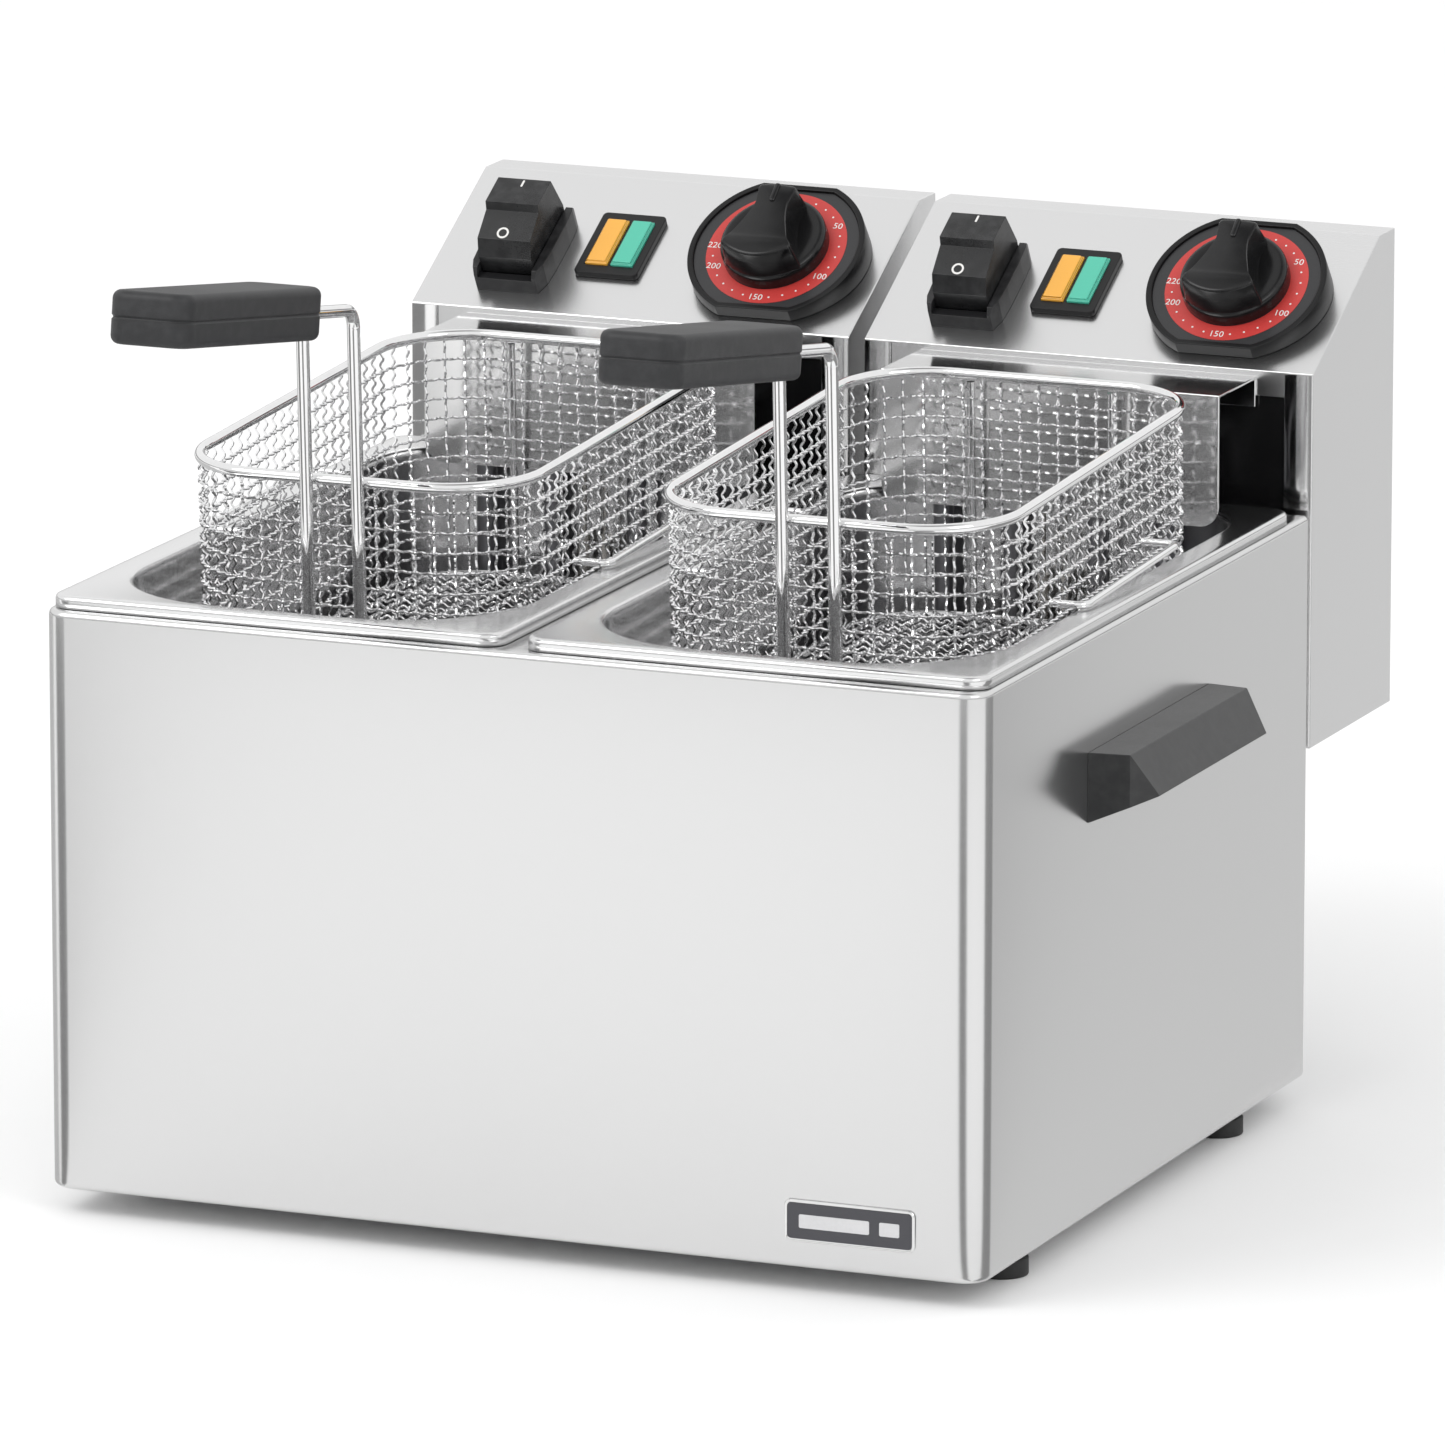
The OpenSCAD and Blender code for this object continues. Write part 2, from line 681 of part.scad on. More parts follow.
// Shelf over the rear of the pan and the shield that hangs from its front edge
module head_bracket(side) {
    y1 = head_y - 0.05;
    bottom = shelf_z - shield_h;
    color("#dcdcdc") unit(side) union() {
        block([-shelf_half, shield_y, shelf_z - sheet], [shelf_half, y1, shelf_z]);
        translate([0, shield_y + sheet, 0]) rotate([90, 0, 0]) linear_extrude(sheet) union() {
            translate([-shelf_half, bottom + shield_r]) square([2 * shelf_half, shield_h - shield_r]);
            translate([-shelf_half + shield_r, bottom]) square([2 * (shelf_half - shield_r), shield_h]);
            for (s = [-1, 1]) translate([s * (shelf_half - shield_r), bottom + shield_r]) circle(shield_r);
        }
        block([-shelf_half, y1 - sheet, shelf_z - 12], [shelf_half, y1, shelf_z]);
    }
}

// Two hairpin tubes: out of the head, down the back of the pan and forward over its floor
module heater(side) {
    color("#4a4a4c") unit(side) union() {
        for (i = [0, 1]) {
            for (s = [-1, 1]) translate([s * leg_x[i], 0, 0]) heater_leg(heater_front + leg_x[i] - leg_x[0]);
            heater_front_turn(leg_x[i]);
        }
        block([-leg_x[1] - 10, head_y + 2 * sheet + 0.1, heater_exit_z - 12],
              [leg_x[1] + 10, head_y + 2 * sheet + 3.1, heater_exit_z + 6]);
    }
}

// One leg in the YZ plane; its level run ends at front_y
module heater_leg(front_y) {
    rod([0, leg_y + heater_bend, heater_exit_z], [0, head_y + 22, heater_exit_z], tube_r);
    translate([0, leg_y + heater_bend, heater_exit_z - heater_bend]) rotate([90, 0, 90])
        rotate([0, 0, 90]) bend(heater_bend, tube_r, 90);
    rod([0, leg_y, heater_z + heater_bend], [0, leg_y, heater_exit_z - heater_bend], tube_r);
    translate([0, leg_y - heater_bend, heater_z + heater_bend]) rotate([90, 0, 90])
        rotate([0, 0, 270]) bend(heater_bend, tube_r, 90);
    rod([0, front_y, heater_z], [0, leg_y - heater_bend, heater_z], tube_r);
    bead([0, leg_y + heater_bend, heater_exit_z], tube_r);
    bead([0, leg_y, heater_exit_z - heater_bend], tube_r);
    bead([0, leg_y, heater_z + heater_bend], tube_r);
    bead([0, leg_y - heater_bend, heater_z], tube_r);
    bead([0, front_y, heater_z], tube_r);
}

// Half circle that joins the two level runs of a hairpin
module heater_front_turn(half) {
    front_y = heater_front + half - leg_x[0];
    translate([0, front_y, heater_z]) rotate([0, 0, 180]) bend(half, tube_r, 180);
}

// Thermostat body under the panel with the spindle that carries the knob
module thermostat(side) {
    color("#8a8a86") unit(side) on_dial() union() {
        translate([0, 0, -20 - dial_low_h - 10]) cylinder(r = 17, h = 14);
        translate([0, 0, -26]) cylinder(r = 6, h = 6);
        translate([0, 0, -26]) cylinder(r = shaft_r, h = 26 + 14);
        for (s = [-1, 1]) translate([s * 12, 14, -34]) cube([6, 8, 1.5], center = true);
    }
}

// Manual-reset limiter on the rear plate, its bore guides the reset button
module limiter(side) {
    color("#2b2b30") unit(side)
        translate([reset_x, head_rear - hole_play - sheet - 0.05, reset_z]) rotate([90, 0, 0])
            difference() {
                union() {
                    cylinder(r = 9, h = 5);
                    translate([0, 0, 5 - eps]) cylinder(r = 16, h = 18);
                }
                translate([0, 0, -1]) cylinder(r = reset_r + shaft_play, h = 14);
            }
}

// Probe bulbs behind the shield, hung on their thin tubes
module sensor_bulbs(side) {
    z = heater_exit_z + 9;
    turn = 6;
    color("#b87333") unit(side)
        for (x = bulb_x) translate([x, 0, 0]) union() {
            rod([0, leg_y + turn, z], [0, head_y + 20, z], bulb_tube_r);
            translate([0, leg_y + turn, z - turn]) rotate([90, 0, 90])
                rotate([0, 0, 90]) bend(turn, bulb_tube_r, 90);
            rod([0, leg_y, heater_z + 20 + bulb_len - 2], [0, leg_y, z - turn], bulb_tube_r);
            rod([0, leg_y, heater_z + 20], [0, leg_y, heater_z + 20 + bulb_len], bulb_r);
        }
}

// Mains terminal block on the head's bottom plate
module terminal_block(side) {
    color("#efe9dc") unit(side)
        translate([gland_x + 6, head_rear - 46, head_bottom + 1 + sheet + 0.05]) difference() {
            translate([-26, -9, 0]) cube([52, 18, 17]);
            for (i = [-2 : 2]) translate([10 * i, 0, 6]) cylinder(r = 2.2, h = 20);
            for (i = [-2 : 2])
                translate([10 * i, 0, 6]) rotate([90, 0, 0]) cylinder(r = 1.8, h = 30, center = true);
        }
}

// ---- panel fittings ----

module lamp_bezel(side) {
    color("#2a2a2a") unit(side) on_panel(lamp_x, lamp_s) difference() {
        union() {
            translate([0, 0, 0.05]) linear_extrude(2.6)
                rounded([-lamp_w / 2, -lamp_l / 2], [lamp_w / 2, lamp_l / 2], 2);
            translate([0, 0, -9]) linear_extrude(10)
                square([lamp_w - 5, lamp_l - 5], center = true);
        }
        for (x = lens_x) translate([x, 0, -3])
            linear_extrude(10) square([lens_w + 0.1, lens_l + 0.1], center = true);
    }
}

module lens(side, i) {
    unit(side) on_panel(lamp_x, lamp_s) translate([lens_x[i], 0, -2.95]) union() {
        linear_extrude(6.4) square([lens_w, lens_l], center = true);
        translate([0, 0, 6.4 - eps]) linear_extrude(1) square([lens_w - 1.6, lens_l - 1.6], center = true);
    }
}

module lamp_amber(side) {
    color("#e6901e") lens(side, 0);
}

module lamp_green(side) {
    color("#2f9a78") lens(side, 1);
}

// Dial plate: flat-sided disc on a wedge that turns the scale towards the user
module dial_plate(side) {
    color("#262626") unit(side) difference() {
        on_dial() difference() {
            union() {
                translate([0, 0, -40]) linear_extrude(40) dial_outline(0);
                linear_extrude(1.3) difference() {
                    dial_outline(0);
                    dial_outline(2.4);
                }
            }
            translate([0, 0, -41]) cylinder(r = shaft_r + 1.5, h = 60);
        }
        on_panel(dial_x, dial_s) translate([0, 0, 0.05 - 50]) cube([200, 200, 100], center = true);
    }
}

// Outline of the dial plate, pulled in by an inset
module dial_outline(inset) {
    intersection() {
        circle(dial_r - inset, $fn = 96);
        square([2 * dial_r, 2 * (dial_flat - inset)], center = true);
    }
}

// Guard frame of the rocker switch with the switch body under the panel and the rocker's axle
module rocker_bezel(side) {
    end = guard_l / 2;
    well = [rocker_w + 0.6, switch_l - 1.4];
    color("#242424") unit(side) on_panel(rocker_x, rocker_s) union() {
        rocker_axle(pivot_r, well[0] + 1);
        difference() {
            union() {
                intersection() {
                    translate([0, 0, 0.05]) linear_extrude(guard_h) guard_outline();
                    side_profile(2 * guard_w, [
                        [-end - 1, 0], [-end - 1, guard_end_h], [-end + 2, guard_h],
                        [end - guard_cut - 2, guard_h], [end - guard_cut, guard_end_h + 2], [end - guard_cut, 0]
                    ]);
                }
                translate([0, 0, -19]) linear_extrude(20) square([switch_w, switch_l], center = true);
            }
            translate([0, 0, -6]) linear_extrude(30) square(well, center = true);
            translate([0, 0, guard_end_h]) linear_extrude(30) square([well[0], 2 * guard_l], center = true);
        }
    }
}

// Round axle across the switch's well, or its bore in the rocker
module rocker_axle(r, length) {
    translate([0, 0, pivot_h]) rotate([0, 90, 0]) cylinder(r = r, h = length, center = true);
}

// Plan outline of the guard frame: widest at the middle, corners cut off
module guard_outline() {
    w = guard_w / 2;
    l = guard_l / 2;
    polygon([
        [-w + 2.5, -l], [w - 2.5, -l], [w - 0.5, -l + 6.3], [w, -l + 15.3], [w, l - 15.3],
        [w - 0.5, l - 6.3], [w - 2.5, l], [-w + 2.5, l], [-w + 0.5, l - 6.3], [-w, l - 15.3],
        [-w, -l + 15.3], [-w + 0.5, -l + 6.3]
    ]);
}

// ======================= moving controls =======================

// Knob: skirt, raised wing for the fingers, and a blind bore for the spindle
module knob(side) {
    color("#111111") unit(side) on_dial() translate([0, 0, 0.5]) difference() {
        union() {
            cylinder(r = knob_r, h = 7);
            translate([0, 0, 7 - eps]) cylinder(r1 = knob_r, r2 = knob_r - 3, h = 5);
            intersection() {
                cylinder(r = knob_r + 2, h = knob_h);
                translate([-7.5, -knob_r - 3, 0]) cube([15, 2 * knob_r + 6, knob_h]);
            }
        }
        translate([0, 0, -1]) cylinder(r = shaft_r + shaft_play, h = 16);
    }
}

// Rocker with its raised upper half, pressed in at the lower half
module rocker(side) {
    color("#1e1e1e") unit(side) on_panel(rocker_x, rocker_s) difference() {
        side_profile(rocker_w, [
            [-14, 0], [-18, 5], [-19, 13.5], [-16, 20.5], [-3.5, 24.8], [-2.5, 28.2], [12.5, 28.2],
            [17.5, 12], [17, 4], [13, 0]
        ]);
        rocker_axle(pivot_r + shaft_play, rocker_w + 2);
    }
}

// Round reset button in the limiter's bore
module reset_button(side) {
    color("#b3221c") unit(side)
        translate([reset_x, head_rear + reset_travel + 2, reset_z]) rotate([90, 0, 0])
            cylinder(r = reset_r, h = 15);
}

// Cable gland: body through the rear plate, hexagon outside and a domed nut
module cable_gland(side) {
    color("#2a2a2a") unit(side) translate([gland_x, head_rear - hole_play, gland_z]) rotate([-90, 0, 0])
        difference() {
            union() {
                translate([0, 0, -10]) cylinder(r = 6, h = 14);
                cylinder(r = 10, h = 4, $fn = 6);
                translate([0, 0, 4 - eps]) cylinder(r = 8, h = gland_out - 4 + hole_play + eps);
                translate([0, 0, -sheet - 3.6]) cylinder(r = 9.5, h = 3.5, $fn = 6);
            }
            translate([0, 0, -11]) cylinder(r = 3.6, h = 40);
        }
}

// ======================= what is drawn =======================

casing_shell();
casing_back();
casing_base();
centre_rail();
feet();
foot_screws();
carry_handle(-1);  // carry_handle_left
carry_handle(1);  // carry_handle_right
carry_handle_screws();
badge_plate();
pan(-1);  // pan_left
basket_mesh(-1);  // basket_mesh_left
basket_rim(-1);  // basket_rim_left
basket_handle_rods(-1);  // basket_handle_rods_left
basket_ribs(-1);  // basket_ribs_left
grip_half(-1, 1);  // basket_grip_upper_left
grip_half(-1, -1);  // basket_grip_lower_left
head_cover(-1);  // head_cover_left
head_back(-1);  // head_back_left
head_bracket(-1);  // head_bracket_left
heater(-1);  // heater_left
heater_plate(-1);  // heater_plate_left
thermostat(-1);  // thermostat_left
limiter(-1);  // limiter_left
sensor_bulbs(-1);  // sensor_bulbs_left
terminal_block(-1);  // terminal_block_left
lamp_bezel(-1);  // lamp_bezel_left
lamp_amber(-1);  // lamp_amber_left
lamp_green(-1);  // lamp_green_left
dial_plate(-1);  // dial_plate_left
rocker_bezel(-1);  // rocker_bezel_left
cable_gland(-1);  // cable_gland_left
knob(-1);  // knob_left
rocker(-1);  // rocker_left
reset_button(-1);  // reset_button_left
pan(1);  // pan_right
basket_mesh(1);  // basket_mesh_right
basket_rim(1);  // basket_rim_right
basket_handle_rods(1);  // basket_handle_rods_right
basket_ribs(1);  // basket_ribs_right
grip_half(1, 1);  // basket_grip_upper_right
grip_half(1, -1);  // basket_grip_lower_right
head_cover(1);  // head_cover_right
head_back(1);  // head_back_right
head_bracket(1);  // head_bracket_right
heater(1);  // heater_right
heater_plate(1);  // heater_plate_right
thermostat(1);  // thermostat_right
limiter(1);  // limiter_right
sensor_bulbs(1);  // sensor_bulbs_right
terminal_block(1);  // terminal_block_right
lamp_bezel(1);  // lamp_bezel_right
lamp_amber(1);  // lamp_amber_right
lamp_green(1);  // lamp_green_right
dial_plate(1);  // dial_plate_right
rocker_bezel(1);  // rocker_bezel_right
cable_gland(1);  // cable_gland_right
knob(1);  // knob_right
rocker(1);  // rocker_right
reset_button(1);  // reset_button_right
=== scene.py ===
"""Looks of a double countertop deep fryer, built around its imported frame.

Sizes inside the classes are in millimetres, in the design's own frame: X across from
the middle, Y back from the casing's front, Z up from the floor. `Place` turns them into
the shared frame in metres.
"""

import logging
import math
from dataclasses import dataclass
from enum import Enum
from typing import Callable, Iterable, Sequence

import bmesh
import bpy
from mathutils import Matrix, Vector


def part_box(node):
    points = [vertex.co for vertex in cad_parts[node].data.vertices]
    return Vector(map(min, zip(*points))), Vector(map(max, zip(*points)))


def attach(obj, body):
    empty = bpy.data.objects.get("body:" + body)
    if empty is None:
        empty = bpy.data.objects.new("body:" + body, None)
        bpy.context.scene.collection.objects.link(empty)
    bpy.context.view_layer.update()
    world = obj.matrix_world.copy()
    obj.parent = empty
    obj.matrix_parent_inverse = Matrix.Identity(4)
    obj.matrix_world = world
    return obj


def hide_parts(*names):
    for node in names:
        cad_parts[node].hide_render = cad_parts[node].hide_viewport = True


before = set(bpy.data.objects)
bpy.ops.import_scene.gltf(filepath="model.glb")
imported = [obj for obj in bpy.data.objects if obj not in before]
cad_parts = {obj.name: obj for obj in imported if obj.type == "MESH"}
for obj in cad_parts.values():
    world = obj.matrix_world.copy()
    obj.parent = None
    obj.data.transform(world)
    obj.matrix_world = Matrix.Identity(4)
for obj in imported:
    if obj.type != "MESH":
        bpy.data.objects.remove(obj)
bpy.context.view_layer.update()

MM = 0.001
GRAIN_SPAN = (0.6, 1.4)
COAT_ROUGH = 0.08
LOG = logging.getLogger("fryer")

Point2 = tuple[float, float]
Ring = list[Vector]
Colour = tuple[float, float, float]


def even(frequency: float) -> tuple[float, float, float]:
    """The same noise frequency every way."""
    return frequency, frequency, frequency


class Side(Enum):
    """The two units of the fryer."""

    LEFT = -1
    RIGHT = 1

    @property
    def tag(self) -> str:
        """The ending of this unit's node names."""
        return self.name.lower()


# ---------------------------------------------------------------- places


class Place:
    """Local frames of the design, as matrices in millimetres."""

    front_y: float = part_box("casing_shell")[0].y
    unit_pitch: float = 193.0
    head_y: float = 346.15
    panel_z: float = 288.1
    panel_angle: float = math.radians(29.3762)
    dial_x: float = 51.0
    dial_s: float = 38.3
    dial_flat: float = 32.5
    dial_low: float = 4.5
    dial_wedge: float = math.radians(9.0)
    basket_mid: float = 181.0
    bar_z: float = 242.7
    basket_tilt: float = math.radians(2.6)
    grip_y: float = 24.517
    grip_z: float = 358.52
    grip_rise: float = math.radians(11.5)

    @classmethod
    def world(cls) -> Matrix:
        """Design millimetres to metres in the shared frame."""
        return Matrix.Translation((0, cls.front_y, 0)) @ Matrix.Scale(MM, 4)

    @classmethod
    def unit(cls, side: Side) -> Matrix:
        """Middle of one unit, at the casing's front and on the floor."""
        return cls.world() @ Matrix.Translation((side.value * cls.unit_pitch / 2, 0, 0))

    @classmethod
    def panel(cls, side: Side, x: float, s: float) -> Matrix:
        """A point of the slanted panel: X across, Y up the slope, Z out of it.

        Args:
            side: The unit.
            x: Place across the panel, from the unit's middle.
            s: Place up the slope, from the panel's lower edge.

        Returns:
            The frame's matrix.
        """
        turn = Matrix.Rotation(cls.panel_angle, 4, "X")
        base = Matrix.Translation((0, cls.head_y, cls.panel_z))
        return cls.unit(side) @ base @ turn @ Matrix.Translation((x, s, 0))

    @classmethod
    def dial(cls, side: Side) -> Matrix:
        """Middle of the dial's face, which is wedged up from the panel."""
        down = Matrix.Translation((0, -cls.dial_flat, cls.dial_low))
        up = Matrix.Translation((0, cls.dial_flat, 0))
        wedge = Matrix.Rotation(cls.dial_wedge, 4, "X")
        return cls.panel(side, cls.dial_x, cls.dial_s) @ down @ wedge @ up

    @classmethod
    def basket(cls, side: Side) -> Matrix:
        """The basket's own level frame, tilted about its rest bars."""
        there = Matrix.Translation((0, cls.basket_mid, cls.bar_z))
        back = Matrix.Translation((0, -cls.basket_mid, -cls.bar_z))
        return cls.unit(side) @ there @ Matrix.Rotation(cls.basket_tilt, 4, "X") @ back

    @classmethod
    def grip(cls, side: Side) -> Matrix:
        """The grip's frame: -Y along it from its rear end, Z through its thickness."""
        start = Matrix.Translation((0, cls.grip_y, cls.grip_z))
        return cls.basket(side) @ start @ Matrix.Rotation(-cls.grip_rise, 4, "X")


# ---------------------------------------------------------------- node tools


class Graph:
    """A short way to add and join shader nodes."""

    def __init__(self, tree: bpy.types.NodeTree) -> None:
        """Works on one node tree."""
        self.tree = tree

    def add(self, kind: str, inputs: dict | None = None, **settings: object) -> bpy.types.Node:
        """Adds a node.

        Args:
            kind: The node's type name, without "ShaderNode".
            inputs: Values or output sockets for its input sockets, by name or number.
            **settings: Properties of the node.

        Returns:
            The new node.
        """
        name = kind if kind.startswith("NodeGroup") else f"ShaderNode{kind}"
        node = self.tree.nodes.new(name)
        for key, value in settings.items():
            setattr(node, key, value)
        for key, value in (inputs or {}).items():
            if isinstance(value, bpy.types.NodeSocket):
                self.tree.links.new(value, node.inputs[key])
            else:
                node.inputs[key].default_value = value
        return node

    def span(self, value: bpy.types.NodeSocket, low: float, high: float,
             start: float = 0.0, end: float = 1.0) -> bpy.types.NodeSocket:
        """Maps a value from start..end to low..high.

        Args:
            value: The value's socket.
            low: Result at start.
            high: Result at end.
            start: Value that gives low.
            end: Value that gives high.

        Returns:
            The output socket.
        """
        node = self.add("MapRange", {"Value": value, "From Min": start, "From Max": end,
                                     "To Min": low, "To Max": high})
        return node.outputs["Result"]

    def mix(self, share: bpy.types.NodeSocket, first: Colour | bpy.types.NodeSocket,
            second: Colour | bpy.types.NodeSocket) -> bpy.types.NodeSocket:
        """Mixes two colours by a mask.

        Args:
            share: The mask: 0 gives the first colour, 1 the second.
            first: A colour, or a socket that gives one.
            second: Another.

        Returns:
            The colour socket.
        """
        node = self.add("Mix", {0: share}, data_type="RGBA")
        for key, value in ((6, first), (7, second)):
            if isinstance(value, bpy.types.NodeSocket):
                self.tree.links.new(value, node.inputs[key])
            else:
                node.inputs[key].default_value = (*value, 1.0)
        return node.outputs[2]


class Groups:
    """Shared shader effects, each built once as a node group."""

    made: dict[str, bpy.types.NodeTree] = {}
    line_detail: float = 4.0
    line_rough: float = 0.65
    cloud_detail: float = 3.0
    spot_detail: float = 5.0
    edge_span: Point2 = (0.51, 0.6)
    spot_span: Point2 = (0.4, 0.7)

    @classmethod
    def get(cls, name: str, build: Callable[[Graph, dict], dict],
            inputs: Sequence[tuple[str, str, object]], outputs: Sequence[str]) -> bpy.types.NodeTree:
        """Finds or builds a node group.

        Args:
            name: The group's name.
            build: Fills the group and returns its output sockets by name.
            inputs: Name, socket type and default of each input.
            outputs: Names of the float outputs.

        Returns:
            The group's node tree.
        """
        if name in cls.made:
            return cls.made[name]
        tree = bpy.data.node_groups.new(name, "ShaderNodeTree")
        for label, kind, default in inputs:
            socket = tree.interface.new_socket(label, in_out="INPUT", socket_type=kind)
            socket.default_value = default
        for label in outputs:
            tree.interface.new_socket(label, in_out="OUTPUT", socket_type="NodeSocketFloat")
        graph = Graph(tree)
        entry = graph.add("NodeGroupInput")
        leave = graph.add("NodeGroupOutput")
        result = build(graph, {label: entry.outputs[label] for label, _, _ in inputs})
        for label in outputs:
            tree.links.new(result[label], leave.inputs[label])
        cls.made[name] = tree
        return tree

    @classmethod
    def grain(cls) -> bpy.types.NodeTree:
        """Stretched fine lines and slow clouds: brushed metal, or even speckle on plastic.

        Returns:
            The group's node tree.
        """

        def build(g: Graph, i: dict) -> dict:
            """Fills the group.

            Args:
                g: The group's graph.
                i: The group's inputs, by name.

            Returns:
                The output sockets, by name.
            """
            place = g.add("TexCoord").outputs["Object"]
            lines = g.add("VectorMath", {0: place, 1: i["Stretch"]}, operation="MULTIPLY")
            fine = g.add("TexNoise", {"Vector": lines.outputs[0], "Scale": 1.0,
                                      "Detail": cls.line_detail, "Roughness": cls.line_rough})
            cloud = g.add("TexNoise", {"Vector": place, "Scale": i["Cloud scale"],
                                       "Detail": cls.cloud_detail})
            return {"Grain": fine.outputs[0], "Cloud": cloud.outputs[0]}

        return cls.get("surface_grain", build, [
            ("Stretch", "NodeSocketVector", (300.0, 300.0, 300.0)),
            ("Cloud scale", "NodeSocketFloat", 9.0)], ["Grain", "Cloud"])

    @classmethod
    def wear(cls) -> bpy.types.NodeTree:
        """Mask of the painted edge highlight: a lighter colour on convex edges, broken up by noise.

        Returns:
            The group's node tree.
        """

        def build(g: Graph, i: dict) -> dict:
            """Fills the group.

            Args:
                g: The group's graph.
                i: The group's inputs, by name.

            Returns:
                The output sockets, by name.
            """
            edge = g.add("NewGeometry").outputs["Pointiness"]
            place = g.add("TexCoord").outputs["Object"]
            spots = g.add("TexNoise", {"Vector": place, "Scale": i["Scale"],
                                       "Detail": cls.spot_detail}).outputs[0]
            raised = g.span(edge, 0.0, 1.0, *cls.edge_span)
            broken = g.span(spots, 0.0, 1.0, *cls.spot_span)
            both = g.add("Math", {0: raised, 1: broken}, operation="MULTIPLY")
            return {"Mask": g.add("Math", {0: both.outputs[0], 1: i["Amount"]},
                                  operation="MULTIPLY").outputs[0]}

        return cls.get("edge_wear", build, [("Scale", "NodeSocketFloat", 220.0),
                                            ("Amount", "NodeSocketFloat", 0.5)], ["Mask"])


@dataclass(frozen=True)
class Finish:
    """One procedural surface finish.

    Attributes:
        name: The material's name.
        tone: Base colour, linear.
        metallic: 1 for bare metal.
        rough: Middle roughness.
        rough_spread: How far roughness moves either way.
        tone_spread: Share by which the tone darkens in the clouds.
        stretch: Noise frequency along X, Y and Z, per metre.
        bump: Height of the grain, in metres.
        cloud: Frequency of the slow clouds.
        coat: Weight of a clear gloss.
        painted_highlight_tone: Colour of the painted edge highlight, a lighter tone on convex edges, if any.
        painted_highlight_amount: Strength of the painted edge highlight.
        specular: Strength of the surface reflection.
    """

    name: str
    tone: Colour
    metallic: float = 0.0
    rough: float = 0.4
    rough_spread: float = 0.05
    tone_spread: float = 0.06
    stretch: tuple[float, float, float] = (900.0, 900.0, 900.0)
    bump: float = 0.00002
    cloud: float = 9.0
    coat: float = 0.0
    painted_highlight_tone: Colour | None = None
    painted_highlight_amount: float = 0.4
    specular: float = 0.5

    def material(self) -> bpy.types.Material:
        """Finds or builds the material.

        Returns:
            The material.
        """
        found = bpy.data.materials.get(self.name)
        if found:
            return found
        made = bpy.data.materials.new(self.name)
        made.use_nodes = True
        made.node_tree.nodes.clear()
        g = Graph(made.node_tree)
        grain = g.add("Group", node_tree=Groups.grain())
        grain.inputs["Stretch"].default_value = self.stretch
        grain.inputs["Cloud scale"].default_value = self.cloud
        dark = tuple(c * (1 - self.tone_spread) for c in self.tone)
        light = tuple(min(1.0, c * (1 + self.tone_spread * 0.5)) for c in self.tone)
        share = g.add("Math", {0: grain.outputs["Cloud"], 1: grain.outputs["Grain"]}, operation="ADD")
        colour = g.mix(g.span(share.outputs[0], 0.0, 1.0, *GRAIN_SPAN), dark, light)
        # Painted edge highlight: a lighter tone mixed in on convex edges, standing in for the light that
        # those edges catch.
        if self.painted_highlight_tone:
            wear = g.add("Group", node_tree=Groups.wear())
            wear.inputs["Amount"].default_value = self.painted_highlight_amount
            colour = g.mix(wear.outputs["Mask"], colour, self.painted_highlight_tone)
        height = g.add("Bump", {"Height": grain.outputs["Grain"], "Distance": self.bump, "Strength": 1.0})
        shader = g.add("BsdfPrincipled", {
            "Base Color": colour, "Metallic": self.metallic,
            "Roughness": g.span(share.outputs[0], self.rough - self.rough_spread,
                                self.rough + self.rough_spread, *GRAIN_SPAN),
            "Normal": height.outputs[0], "Coat Weight": self.coat, "Coat Roughness": COAT_ROUGH,
            "Specular IOR Level": self.specular})
        g.add("OutputMaterial", {"Surface": shader.outputs[0]})
        return made


